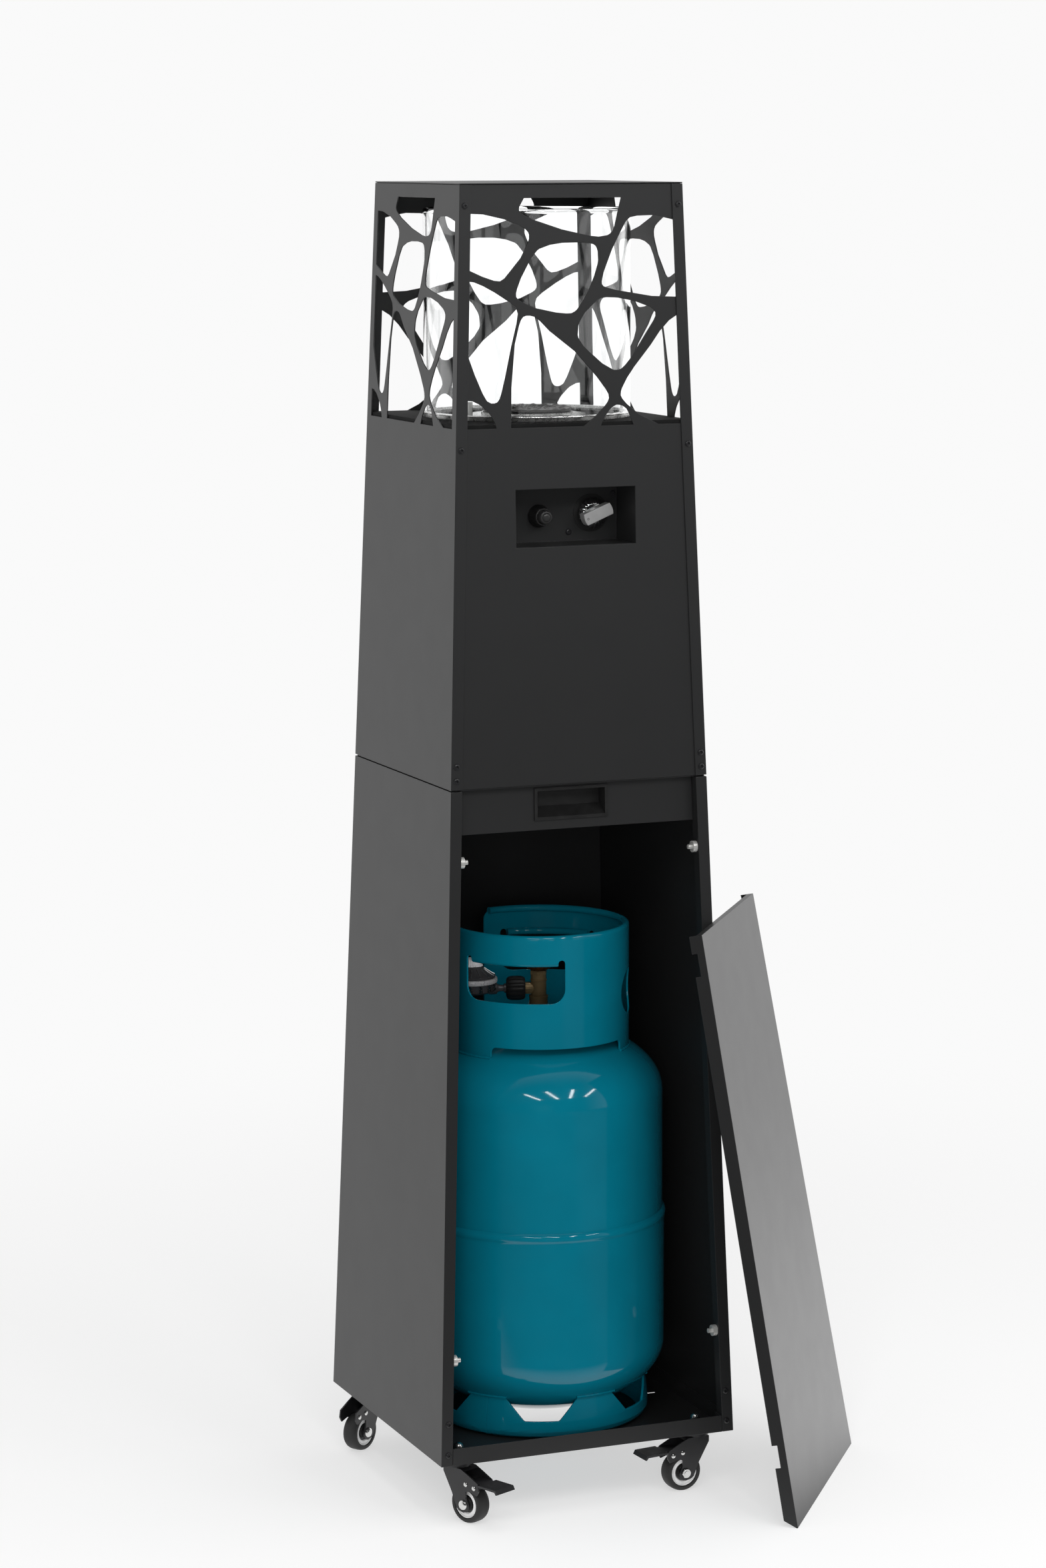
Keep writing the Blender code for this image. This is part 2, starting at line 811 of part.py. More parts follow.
def top_cover():
    """Flat lid with a skirt that drops inside the panels."""
    top = tower_height
    under = tower_height - sheet
    rim = under - lid_skirt
    lid = [(-top_half, -top_half), (top_half, -top_half), (top_half, top_half), (-top_half, top_half)]
    outlines = [
        [(x, y, top) for x, y in lid],
        [(x, y, under) for x, y in lid],
        inner_square(under, 0),
        inner_square(rim, 0),
        inner_square(rim, sheet),
        inner_square(under, sheet),
    ]
    skin("top_cover", outlines, "powder", place=tower_place)


def burner_deck():
    """Square deck with the burner's opening, its skirt turned down."""
    deck = tower_pan("burner_deck", inner_square, deck_height, deck_height - deck_skirt)
    hole = [(burner_hole_radius, deck_height + reach) for reach in (-cutter_reach, cutter_reach)]
    cut(deck, turned("burner_hole", hole, None, steps=wide_steps, place=tower_place))


def burner():
    """Round burner hung by its lip in the deck, and the pilot beside it."""
    seat = deck_height + seat_gap
    profile = (
        (burner_top_radius, deck_height + burner_rise),
        (burner_radius, deck_height + burner_rise - burner_wall),
        (burner_radius, seat + burner_wall),
        (burner_lip_radius, seat + burner_wall),
        (burner_lip_radius, seat),
        (burner_radius, seat),
        (burner_radius, deck_height - burner_drop),
        (burner_radius - burner_wall, deck_height - burner_drop),
        (burner_radius - burner_wall, seat),
        (burner_top_radius, deck_height + burner_rise - burner_wall),
    )
    turned("burner_head", profile, "steel", place=tower_place)
    pilot = (
        (pilot_base_radius, seat), (pilot_base_radius, seat + pilot_base_height),
        (pilot_rod_radius, seat + pilot_base_height), (pilot_rod_radius, seat + pilot_height),
    )
    turned("pilot_assembly", pilot, "zinc", steps=small_steps, place=(*pilot_place, castor_height))


def glass():
    """Glass cylinder in a low steel gallery on the deck."""
    seat = deck_height + seat_gap
    base = seat + gallery_base
    lip = glass_outer_radius + seat_gap
    rim = seat + gallery_rise
    gallery = (
        (gallery_inner_radius, seat), (gallery_outer_radius, seat), (gallery_outer_radius, rim),
        (lip, rim), (lip, base), (gallery_inner_radius, base),
    )
    turned("glass_gallery", gallery, "steel", steps=wide_steps, place=tower_place, closed=True)
    inner = glass_outer_radius - glass_wall
    foot = base + seat_gap
    tube = ((inner, foot), (glass_outer_radius, foot), (glass_outer_radius, glass_top), (inner, glass_top))
    turned("glass_tube", tube, "glass", steps=wide_steps, place=tower_place, closed=True)


# Control box, gas tap and igniter


def box_rectangle(grow, inward=None, y=None):
    """Rectangle of the control box, either on a plane behind the tower's front or at a fixed depth."""
    across = box_half_width + box_clearance + grow
    up = box_half_height + box_clearance + grow
    points = []
    for x, rise in ((-across, -up), (across, -up), (across, up), (-across, up)):
        height = box_centre_height + rise
        points.append((x, y, height) if inward is None else on_tower(x, inward, height))
    return points


def control_box():
    """Sunk box behind the front panel's opening, with holes for the spindle and the igniter."""
    seat = sheet + seat_gap + sheet + seat_gap
    outlines = [
        box_rectangle(sheet, y=box_back_y + sheet),
        box_rectangle(sheet, inward=seat + sheet),
        box_rectangle(box_flange, inward=seat + sheet),
        box_rectangle(box_flange, inward=seat),
        box_rectangle(0, inward=seat),
        box_rectangle(0, y=box_back_y),
    ]
    box = skin("control_recess", outlines, "powder", place=tower_place)
    span = (box_back_y - cutter_reach, box_back_y + cutter_reach)
    tap = (spindle_hole_radius, tap_x, tap_height)
    piezo = (igniter_hole_radius, igniter_x, igniter_height)
    holes = []
    for radius, x, height in (tap, piezo):
        profile = [(radius, y) for y in span]
        holes.append(turned("box_hole", profile, None, axis="y", steps=middle_steps, place=(x, 0, height)))
    cut(box, gather("box_holes", holes, place=tower_place))


def gas_tap():
    """Tap body behind the box, its spindle, the knob and the tube up to the burner."""
    front = box_back_y + sheet + seat_gap
    middle = front + tap_depth / 2
    body = block(
        "gas_valve",
        (tap_x - tap_half_width, front, tap_height - tap_half_height),
        (tap_x + tap_half_width, front + tap_depth, tap_height + tap_half_height),
        "aluminium",
        place=tower_place,
    )
    outlet_top = tap_height + tap_half_height + tap_outlet_length
    nozzles = ((nozzle_radius, tap_height - tap_half_height - tap_inlet_length), (nozzle_radius, outlet_top))
    join(body, turned("tap_nozzles", nozzles, None, steps=round_steps, place=(tap_x, middle, castor_height)))
    bore = ((spindle_bore_radius, front - sheet), (spindle_bore_radius, front + tap_bore_depth))
    axis_place = (tap_x, 0, castor_height + tap_height)
    cut(body, turned("tap_bore", bore, None, axis="y", place=axis_place))
    spindle = ((spindle_radius, box_back_y + spindle_inside), (spindle_radius, box_back_y - spindle_outside))
    turned("valve_spindle", spindle, "steel", axis="y", place=axis_place)
    knob(axis_place)
    supply_tube(middle, outlet_top + seat_gap)


def knob(axis_place):
    """Conical chrome knob with a flat grip bar across it."""
    cone = (
        (knob_radius, box_back_y - knob_back), (knob_radius, box_back_y - knob_back - knob_rim),
        (knob_front_radius, box_back_y - knob_front),
    )
    base = turned("knob_base", cone, "chrome", axis="y", steps=wide_steps, place=axis_place)
    socket_end = box_back_y - knob_back - knob_socket_depth
    socket = ((spindle_bore_radius, box_back_y), (spindle_bore_radius, socket_end))
    cut(base, turned("knob_socket", socket, None, axis="y", place=axis_place))
    profile = []
    for start in (0, pi):
        for step in range(grip_end_steps + 1):
            angle = start - grip_end_angle + 2 * grip_end_angle * step / grip_end_steps
            along = grip_half_length * cos(angle)
            aside = grip_half_width * sin(angle) / sin(grip_end_angle)
            x = along * cos(grip_tilt) - aside * sin(grip_tilt)
            z = along * sin(grip_tilt) + aside * cos(grip_tilt)
            profile.append((x, z))
    ends = (box_back_y - knob_front - seat_gap, box_back_y - grip_front)
    outlines = [[(x, y, z) for x, z in profile] for y in ends]
    skin("knob_grip", outlines, "satin", place=axis_place)


def supply_tube(tap_y, start):
    """Bent tube from the tap's outlet to the middle of the burner."""
    end = deck_height + burner_rise - burner_wall - supply_top_drop
    slant_top = deck_height - burner_drop + supply_reach
    path = [
        Vector((tap_x, tap_y, start)), Vector((tap_x, tap_y, slant_top - supply_slant)),
        Vector((0, 0, slant_top)), Vector((0, 0, end)),
    ]
    runs = [(after - before).normalized() for before, after in zip(path, path[1:])]
    outlines = []
    for point, arriving, leaving in zip(path, [runs[0], *runs], [*runs, runs[-1]]):
        along = (arriving + leaving).normalized()
        across = along.cross(Vector((0, 1, 0))).normalized()
        other = along.cross(across)
        ring = []
        for step in range(small_steps):
            angle = 2 * pi * step / small_steps
            ring.append(point + supply_radius * (across * cos(angle) + other * sin(angle)))
        outlines.append(ring)
    skin("supply_tube", outlines, "aluminium", place=tower_place)


def igniter():
    """Piezo igniter: collar and barrel through the box's back, with its push button."""
    place = (igniter_x, 0, castor_height + igniter_height)
    body = (
        (igniter_barrel_radius, box_back_y + igniter_barrel),
        (igniter_barrel_radius, box_back_y - seat_gap),
        (igniter_base_radius, box_back_y - seat_gap),
        (igniter_base_radius, box_back_y - igniter_base),
        (igniter_boss_radius, box_back_y - igniter_boss),
        (igniter_bore_radius, box_back_y - igniter_boss),
        (igniter_bore_radius, box_back_y - igniter_bore_end),
    )
    turned("igniter_body", body, "black", axis="y", place=place)
    button = (
        (button_radius, box_back_y - button_inner), (button_radius, box_back_y - button_shoulder),
        (button_front_radius, box_back_y - button_front),
    )
    turned("igniter_button", button, "black", axis="y", place=place)


def tilt_switch():
    x, y = switch_place
    across, along = switch_half_size
    low = seam_height + sheet / 2 + seat_gap
    block("tilt_switch", (x - across, y - along, low), (x + across, y + along, low + switch_height), "black",
          place=tower_place)


# Gas bottle

bottle_seat = (*bottle_place, castor_height + sheet + seat_gap)


def floor_point(angle, inset=0):
    """A point of the rounded floor's profile, at an angle down from its level."""
    drop = bottle_floor_drop - inset
    return ((bottle_radius - inset) * cos(angle), bottle_floor_level - drop * sin(angle))


def shoulder_point(angle, inset=0):
    """A point of the domed shoulder's profile, at an angle up from its level."""
    rise = shoulder_rise - inset
    return ((bottle_upper_radius - inset) * cos(angle), shoulder_level + rise * sin(angle))


floor_angle = radians(75)
ring_angle = acos(ring_inner_radius / bottle_radius)
collar_angle = acos(collar_inner_radius / bottle_upper_radius)
neck_angle = acos(neck_radius / bottle_upper_radius)
ring_top = floor_point(ring_angle)[1] - seat_gap
collar_bottom = shoulder_point(collar_angle)[1] + seat_gap


def gas_bottle():
    """Bottle hollow inside, with a bead round its middle and an open neck for the valve."""
    low_angle = (ring_angle + floor_angle) / 2
    outer = [floor_point(angle) for angle in (floor_angle, low_angle, ring_angle, ring_angle / 2, 0)]
    outer += [
        (bottle_radius, bead_low - bead_edge), (bead_radius, bead_low), (bead_radius, bead_high),
        (bottle_upper_radius, bead_high + bead_edge),
    ]
    third = collar_angle / 3
    high_angle = (collar_angle + neck_angle) / 2
    outer += [shoulder_point(angle) for angle in (0, third, third * 2, collar_angle, high_angle, neck_angle)]
    outer += [(neck_radius, neck_top), (neck_hole_radius, neck_top)]
    inner = [(neck_hole_radius, shoulder_point(neck_angle)[1] - bottle_wall)]
    inner += [shoulder_point(angle, bottle_wall) for angle in (high_angle, third * 2, 0)]
    inner += [floor_point(angle, bottle_wall) for angle in (0, ring_angle, floor_angle)]
    turned("bottle_body", outer + inner, "teal", steps=wide_steps, place=bottle_seat)
    foot_ring()
    bottle_collar()
    bottle_valve()
    regulator()


def sector(name, radii, corners):
    """Radial prism over corners given as angle and height."""
    outlines = []
    for radius in radii:
        outlines.append([(radius * cos(angle), radius * sin(angle), height) for angle, height in corners])
    return skin(name, outlines, None)


def foot_ring():
    """Foot ring with a rolled foot and open notches around its top."""
    profile = (
        (ring_inner_radius, 0), (ring_foot_radius, 0), (ring_foot_radius, ring_foot_height),
        (ring_outer_radius, ring_foot_height * 2), (ring_outer_radius, ring_top),
        (ring_inner_radius, ring_top),
    )
    ring = turned("bottle_foot_ring", profile, "teal", steps=wide_steps, place=bottle_seat, closed=True)
    radii = (ring_inner_radius - ring_foot_height * 2, ring_outer_radius + ring_foot_height * 2)
    high = ring_top + ring_foot_height
    notches = []
    for index in range(notch_count):
        centre = notch_first_angle + 2 * pi * index / notch_count
        corners = (
            (centre - notch_low_half_angle, notch_floor), (centre + notch_low_half_angle, notch_floor),
            (centre + notch_high_half_angle, high), (centre - notch_high_half_angle, high),
        )
        notches.append(sector(f"notch_{index}", radii, corners))
    cut(ring, gather("ring_notches", notches, place=bottle_seat))


def hand_hole(span_start, span_end):
    """Outline of a hand hole in the collar: round lower corners and a small hook up at each top corner."""
    start = radians(span_start)
    end = radians(span_end)
    radius = collar_outer_radius
    hook = collar_hook_width / radius
    corner = collar_corner / radius
    corners = [(start, collar_hook_high), (start + hook, collar_hook_high), (start + hook, collar_hole_high)]
    span = end - start - 2 * hook
    top_steps = 4
    for step in range(1, top_steps):
        corners.append((start + hook + span * step / top_steps, collar_hole_high))
    corners += [(end - hook, collar_hole_high), (end - hook, collar_hook_high), (end, collar_hook_high)]
    for degrees in (0, 45, 90):
        turn = radians(degrees)
        corners.append((end - corner * (1 - cos(turn)), collar_hole_low + collar_corner * (1 - sin(turn))))
    low_span = end - start - 2 * corner
    for step in range(1, top_steps):
        corners.append((end - corner - low_span * step / top_steps, collar_hole_low))
    for degrees in (90, 45, 0):
        turn = radians(degrees)
        corners.append((start + corner * (1 - cos(turn)), collar_hole_low + collar_corner * (1 - sin(turn))))
    return corners


def slit(start, end):
    """Outline of a slit under the collar, between its welded feet."""
    low = collar_bottom - collar_roll
    steps = 5
    angles = [radians(start + (end - start) * step / steps) for step in range(steps + 1)]
    return [(angle, low) for angle in angles] + [(angle, collar_slit_top) for angle in reversed(angles)]


def bottle_collar():
    """Collar open at the back left for the hose, with hand holes and a rolled top edge."""
    section = (
        (collar_inner_radius, collar_bottom), (collar_outer_radius, collar_bottom),
        (collar_outer_radius, collar_top - collar_roll), (collar_roll_radius, collar_top - collar_roll / 2),
        (collar_roll_radius, collar_top), (collar_inner_radius, collar_top),
    )
    outlines = []
    for step in range(collar_steps + 1):
        angle = collar_start + (collar_end - collar_start) * step / collar_steps
        outlines.append([(radius * cos(angle), radius * sin(angle), height) for radius, height in section])
    collar = skin("bottle_collar", outlines, "teal", place=bottle_seat)
    radii = (collar_inner_radius - collar_corner, collar_outer_radius + collar_corner * 2)
    openings = []
    for span in collar_hole_spans:
        openings.append(sector("hand_hole", radii, hand_hole(*span)))
    for span in collar_slit_spans:
        openings.append(sector("slit", radii, slit(*span)))
    cut(collar, gather("collar_openings", openings, place=bottle_seat))


def bottle_valve():
    """Brass valve screwed in the neck, with its hand wheel."""
    valve_hex_top = neck_top + valve_hex_height
    profile = (
        (valve_thread_radius, neck_top - valve_thread_length), (valve_thread_radius, neck_top + seat_gap),
        (valve_hex_radius, neck_top + seat_gap), (valve_hex_radius, valve_hex_top),
        (valve_foot_radius, valve_hex_top), (valve_foot_radius, valve_foot_top),
        (valve_body_radius, valve_foot_top), (valve_body_radius, valve_body_top),
        (valve_stem_radius, valve_body_top), (valve_stem_radius, valve_stem_top),
    )
    valve = turned("bottle_valve", profile, "brass", place=bottle_seat)
    nozzle = turned(
        "valve_outlet", ((outlet_radius, 0), (outlet_radius, outlet_end)), None, axis="x",
        place=outlet_point(0), turn=outlet_angle,
    )
    join(valve, nozzle)
    bore = valve_stem_radius + seat_gap
    grip = wheel_grip_radius - wheel_grip_edge
    wheel = (
        (bore, wheel_grip_bottom), (grip, wheel_grip_bottom),
        (wheel_grip_radius, wheel_grip_bottom + wheel_grip_edge),
        (wheel_grip_radius, wheel_grip_top - wheel_grip_edge),
        (grip, wheel_grip_top), (bore, wheel_grip_top),
    )
    turned("valve_handwheel", wheel, "brass", place=bottle_seat, closed=True)


def outlet_point(distance):
    """A point on the valve outlet's axis, in the scene."""
    x, y, floor = bottle_seat
    return (x + distance * cos(outlet_angle), y + distance * sin(outlet_angle), floor + outlet_height)


def regulator():
    """Black hand nut on the valve outlet, and the regulator it holds."""
    bore = outlet_radius + nozzle_gap
    small_bore = regulator_nozzle_radius + nozzle_gap
    nut = (
        (bore, nut_near), (nut_radius - nut_edge, nut_near), (nut_radius, nut_near + nut_edge),
        (nut_radius, nut_far - nut_round), (nut_radius - nut_round, nut_far),
        (small_bore, nut_far), (small_bore, nut_step), (bore, nut_step),
    )
    outlet = {"axis": "x", "place": outlet_point(0), "turn": outlet_angle}
    turned("hand_nut", nut, "black", closed=True, **outlet)
    centre_x, centre_y, _ = outlet_point(regulator_centre)
    profile = []
    for radius, up in regulator_profile_shares:
        profile.append((radius * regulator_radius, regulator_bottom + up * regulator_height))
    body = turned("regulator", profile, "aluminium", place=(centre_x, centre_y, bottle_seat[2]))
    nozzle = ((regulator_nozzle_radius, outlet_end + seat_gap), (regulator_nozzle_radius, regulator_centre))
    barb = ((regulator_barb_radius, regulator_centre), (regulator_barb_radius, regulator_barb_end))
    for name, profile in (("regulator_nozzle", nozzle), ("regulator_barb", barb)):
        join(body, turned(name, profile, None, steps=small_steps, **outlet))


# Door


def leaning_angle():
    """Angle at which the door's top fold meets the tower's front right edge."""
    foot_x, foot_y = door_foot_centre
    narrowing = (base_half - top_half) / tower_height
    across = sin(door_turn) + cos(door_turn)
    edge_nearing = narrowing * across
    foot_distance = foot_x * sin(door_turn) - foot_y * cos(door_turn)
    edge_start = foot_distance - base_half * across - castor_height * edge_nearing
    fold = door_top_fold - sheet
    along = door_height + fold * edge_nearing
    aside = fold - door_height * edge_nearing
    return asin((edge_start - door_rest_gap) / hypot(along, aside)) - atan2(aside, along)


door_lean = leaning_angle()


def door_outline(inset, depth):
    """Face of the door, tapered like the tower, at a depth behind its outer face."""
    bottom = door_bottom_half - inset
    top = door_top_half - inset
    high = door_height - inset
    behind = depth - sheet
    return [(-bottom, behind, -inset), (bottom, behind, -inset), (top, behind, high), (-top, behind, high)]


def door():
    """Door pan, taken off and leaning on the tower; its origin is its foot line, inside the face."""
    panel = skin("door_panel", [door_outline(0, 0), door_outline(0, door_depth)], "powder")
    hollow = [door_outline(sheet, sheet), door_outline(sheet, door_depth + sheet)]
    tools = [skin("door_hollow", hollow, None)]
    for side in (-1, 1):
        for index, mouth in enumerate(hook_mouths):
            tools.append(hook_cutter(f"hook_{index}_{side}", side, mouth))
    wide = door_bottom_half + sheet
    foot = ((0, -sheet), (door_depth, -sheet), (door_depth, door_foot_cut), (0, 0))
    foot_outlines = [[(x, depth, height) for depth, height in foot] for x in (-wide, wide)]
    tools.append(skin("door_foot", foot_outlines, None))
    narrow = door_top_half - sheet * 2
    low = (-narrow, door_top_fold - sheet, door_height - sheet * 2)
    tools.append(block("door_fold_trim", low, (narrow, door_depth, door_height + sheet), None))
    for tool in tools:
        cut(panel, tool)
    for body in [panel, *tools]:
        body.location = (*door_foot_centre, 0)
        body.rotation_euler = (-door_lean, 0, door_turn)


def hook_cutter(name, side, mouth):
    """J slot in a side fold: in from the back edge, then up to where the stud seats."""
    near = door_depth - hook_depth
    profile = (
        (near, mouth), (door_depth, mouth), (door_depth, mouth + hook_width),
        (near + hook_width, mouth + hook_width), (near + hook_width, mouth + hook_width + hook_rise),
        (near, mouth + hook_width + hook_rise),
    )
    taper = door_narrowing / door_height
    outlines = []
    for x in (sheet * 2, -sheet * 2):
        across = door_bottom_half + x
        outlines.append([(side * (across - taper * height), depth, height) for depth, height in profile])
    return skin(name, outlines, None)


# Castors

head_bottom = castor_height - seat_gap - head_rise
race_bottom = head_bottom - race_rise
crown_top = race_bottom - seat_gap
crown_bottom = crown_top - crown_rise
king_head_top = crown_bottom - seat_gap
fork_profile = [(along * crown_top, up * crown_top) for along, up in fork_shares]
axle_hole_radius = axle_radius + seat_gap
tyre_bore_radius = rim_radius + seat_gap
pedal_pin = (
    castor_trail + (wheel_radius + pedal_pin_gap) * cos(pedal_pin_angle),
    wheel_radius + (wheel_radius + pedal_pin_gap) * sin(pedal_pin_angle),
)


def castor(word, x_side, y_side):
    """One swivel castor, its pieces placed about its pivot, with a brake pedal on the front ones."""
    turn = castor_turns[word]
    pivot = Vector((x_side * castor_place, y_side * castor_place, 0))
    along = Vector((cos(turn), sin(turn), 0))
    at_pivot = {"place": pivot, "turn": turn}
    at_hub = {"place": pivot + along * castor_trail + Vector((0, 0, wheel_radius)), "turn": turn}
    castor_head(f"castor_head_{word}", at_pivot)
    castor_fork(f"castor_fork_{word}", at_pivot)
    castor_wheel(word, at_hub)
    if y_side < 0:
        pin_along, pin_height = pedal_pin
        at_pin = {"place": pivot + along * pin_along + Vector((0, 0, pin_height)), "turn": turn}
        brake_pedal(f"brake_pedal_{word}", at_pin)


def castor_head(name, placing):
    """Fixed head with its stem up through the tray and the king pin down through the fork."""
    profile = (
        (stem_radius, castor_height + stem_rise), (stem_radius, castor_height - seat_gap),
        (head_radius, castor_height - seat_gap), (head_radius, head_bottom), (race_radius, head_bottom),
        (race_radius, race_bottom), (stem_radius, race_bottom), (stem_radius, king_head_top),
        (king_head_radius, king_head_top), (king_head_radius, king_head_top - king_head_rise),
    )
    turned(name, profile, "black", steps=small_steps, **placing)


def castor_fork(name, placing):
    """Pressed fork: two cheeks, a crown and a wall on the side away from the wheel."""
    fork = extruded(name, fork_profile, cheek_outer, "black", **placing)
    nose = fork_profile[1][0]
    nose_low = fork_profile[1][1]
    knee, knee_height = fork_profile[2]
    wall_end = knee + fork_wall - (knee - nose) * (fork_wall_bottom - knee_height) / (nose_low - knee_height)
    far = castor_height
    hollow = (
        (-far, -sheet), (-far, fork_wall_bottom), (wall_end, fork_wall_bottom), (nose + fork_wall, nose_low),
        (nose + fork_wall, crown_bottom), (far, crown_bottom), (far, -sheet),
    )
    cut(fork, extruded(f"{name}_hollow", hollow, cheek_inner, None, **placing))
    king = ((king_hole_radius, crown_bottom - sheet), (king_hole_radius, crown_top + sheet))
    cut(fork, turned(f"{name}_king", king, None, steps=small_steps, **placing))
    axle_hole = []
    for reach in (-cheek_outer - sheet, cheek_outer + sheet):
        ring = ring_points(axle_hole_radius, reach, "y", small_steps)
        axle_hole.append([(x + castor_trail, y, z + wheel_radius) for x, y, z in ring])
    cut(fork, skin(f"{name}_axle", axle_hole, None, **placing))


def castor_wheel(word, placing):
    """Axle, dished rim and rounded tyre about the hub."""
    reach = cheek_outer + seat_gap
    axle = (
        (axle_head_radius, -reach - axle_head), (axle_head_radius, -reach), (axle_radius, -reach),
        (axle_radius, reach), (axle_head_radius, reach), (axle_head_radius, reach + axle_head),
    )
    turned(f"castor_axle_{word}", axle, "zinc", axis="y", steps=small_steps, **placing)
    half_rim = (
        (axle_hole_radius, hub_half_width), (hub_radius, hub_half_width), (web_radius, web_half_width),
        (rim_radius, rim_half_width),
    )
    half_tyre = (
        (tyre_bore_radius, tyre_half_width), (tyre_side_radius, tyre_half_width),
        (wheel_radius, tyre_crown_half_width),
    )
    for name, half, finish in (("castor_rim", half_rim, "satin"), ("castor_tyre", half_tyre, "rubber")):
        profile = half + tuple((radius, -along) for radius, along in reversed(half))
        turned(f"{name}_{word}", profile, finish, axis="y", steps=middle_steps, closed=True, **placing)


def brake_pedal(name, placing):
    """Pedal between the cheeks, widening to a pad; its origin is on its pin."""
    arm = [(along * pedal_length, up * pedal_length) for along, up in pedal_shares]
    pad = [(pad_place + along * pedal_length, up * pedal_length) for along, up in pad_shares]
    pedal = extruded(name, arm, pedal_half_width, "black", **placing)
    join(pedal, extruded(f"{name}_pad", pad, pad_half_width, None, **placing))


def build():
    clear_scene()
    stand = bpy.data.objects.new("stand", None)
    stand.location = (*stand_shift, 0)
    bpy.context.scene.collection.objects.link(stand)
    lower_cabinet()
    flame_housing()
    control_box()
    gas_tap()
    igniter()
    tilt_switch()
    gas_bottle()
    door()
    for word, x_side, y_side in (("fl", -1, -1), ("fr", 1, -1), ("bl", -1, 1), ("br", 1, 1)):
        castor(word, x_side, y_side)


build()
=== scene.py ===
"""Materials, small pieces, camera and studio for the pyramid patio heater, round the frame's solids."""
import json
from math import acos, cos, degrees, pi, radians, sin

import bmesh
import bpy
from mathutils import Matrix, Quaternion, Vector


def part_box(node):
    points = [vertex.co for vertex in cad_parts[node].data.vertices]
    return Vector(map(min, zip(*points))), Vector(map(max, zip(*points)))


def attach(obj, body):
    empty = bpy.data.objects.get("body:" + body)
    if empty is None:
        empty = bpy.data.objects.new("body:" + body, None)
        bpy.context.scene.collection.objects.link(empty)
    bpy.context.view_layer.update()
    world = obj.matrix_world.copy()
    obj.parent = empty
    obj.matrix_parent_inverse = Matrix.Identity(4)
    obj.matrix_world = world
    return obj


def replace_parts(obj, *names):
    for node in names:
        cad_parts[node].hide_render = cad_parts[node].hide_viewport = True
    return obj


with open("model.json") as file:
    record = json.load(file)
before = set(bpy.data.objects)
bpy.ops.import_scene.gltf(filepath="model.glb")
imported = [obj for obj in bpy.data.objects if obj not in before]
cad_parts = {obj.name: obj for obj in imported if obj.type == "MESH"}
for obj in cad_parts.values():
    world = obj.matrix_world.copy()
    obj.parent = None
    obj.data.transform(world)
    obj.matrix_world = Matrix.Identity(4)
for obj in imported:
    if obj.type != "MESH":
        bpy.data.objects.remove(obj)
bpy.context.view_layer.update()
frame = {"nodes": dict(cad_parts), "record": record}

# Places read from the frame

lid_low, lid_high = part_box("top_cover")
tray_low, tray_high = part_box("base_tray")
side_low, side_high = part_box("lower_left_panel")
lid_middle = (lid_low + lid_high) / 2
cabinet_bottom = tray_low.z
tower_height = lid_high.z - cabinet_bottom
top_half = (lid_high.x - lid_low.x) / 2
base_half = (side_high.y - side_low.y) / 2
narrowing = (base_half - top_half) / tower_height
sheet = 0.0015
seat_gap = 0.0003


def half_at(height):
    """Half the tower's width at a height above the cabinet's bottom."""
    return base_half - narrowing * height


def in_tower(x, y, height):
    """A point given from the tower's axis and the cabinet's bottom, in the frame."""
    return Vector((lid_middle.x + x, lid_middle.y + y, cabinet_bottom + height))


def middle_of(node):
    low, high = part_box(node)
    return (low + high) / 2


def seat_of(node, top=False):
    """Middle of a node's foot, or of its top."""
    low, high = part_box(node)
    return Vector(((low.x + high.x) / 2, (low.y + high.y) / 2, (high if top else low).z))


# Camera, fitted to the photograph

camera_place = (-2.01508, -4.93056, 1.63398)
camera_yaw = 0.3868
camera_pitch = -0.1516
camera_roll = -0.0025
focal_pixels = 6334
image_height = 2351
sensor_height = 36
near_clip = 0.1
far_clip = 100


def make_camera():
    data = bpy.data.cameras.new("camera")
    data.sensor_width = sensor_height
    data.lens = focal_pixels * sensor_height / image_height
    data.clip_start = near_clip
    data.clip_end = far_clip
    camera = link_object("camera", data)
    level = Vector((cos(camera_yaw), -sin(camera_yaw), 0))
    heading = Vector((sin(camera_yaw), cos(camera_yaw), 0))
    ahead = heading * cos(camera_pitch) + Vector((0, 0, sin(camera_pitch)))
    upright = level.cross(ahead)
    right = level * cos(camera_roll) + upright * sin(camera_roll)
    up = upright * cos(camera_roll) - level * sin(camera_roll)
    turn = Matrix((right, up, -ahead)).transposed().to_4x4()
    camera.matrix_world = Matrix.Translation(in_tower(*camera_place)) @ turn
    bpy.context.scene.camera = camera


def link_object(name, data):
    item = bpy.data.objects.new(name, data)
    bpy.context.scene.collection.objects.link(item)
    return item


# Studio

white = (1, 1, 1, 1)
floor_half = 14
floor_colour = (0.49, 0.49, 0.49, 1)
floor_glow = 0.53
floor_near = 0.9
floor_far = 2.6
backdrop_glow = 0.955
through_glow = 1.16
front_glow = 0.012
front_floor_glow = 0.03
front_floor_span = (-0.6, -0.2)
right_floor_glow = 1.6
right_floor_start = (0.1, 0.5)
right_floor_end = (1.2, 3.5)
right_glow = 0.85
right_span = (0.3, 0.95)
behind_span = (-0.45, 0.35)
fill_glow = 0.52


def add_node(tree, kind, links=None, values=None, **settings):
    """A shader node with its settings, its constant inputs and its incoming links."""
    node = tree.nodes.new(kind)
    for name, value in settings.items():
        setattr(node, name, value)
    for socket, value in (values or {}).items():
        node.inputs[socket].default_value = value
    for socket, source in (links or {}).items():
        tree.links.new(source, node.inputs[socket])
    return node


def eased(tree, source, start, end, low, high, curve="SMOOTHSTEP"):
    values = {"From Min": start, "From Max": end, "To Min": low, "To Max": high}
    stage = add_node(tree, "ShaderNodeMapRange", {"Value": source}, values, interpolation_type=curve)
    return stage.outputs["Result"]


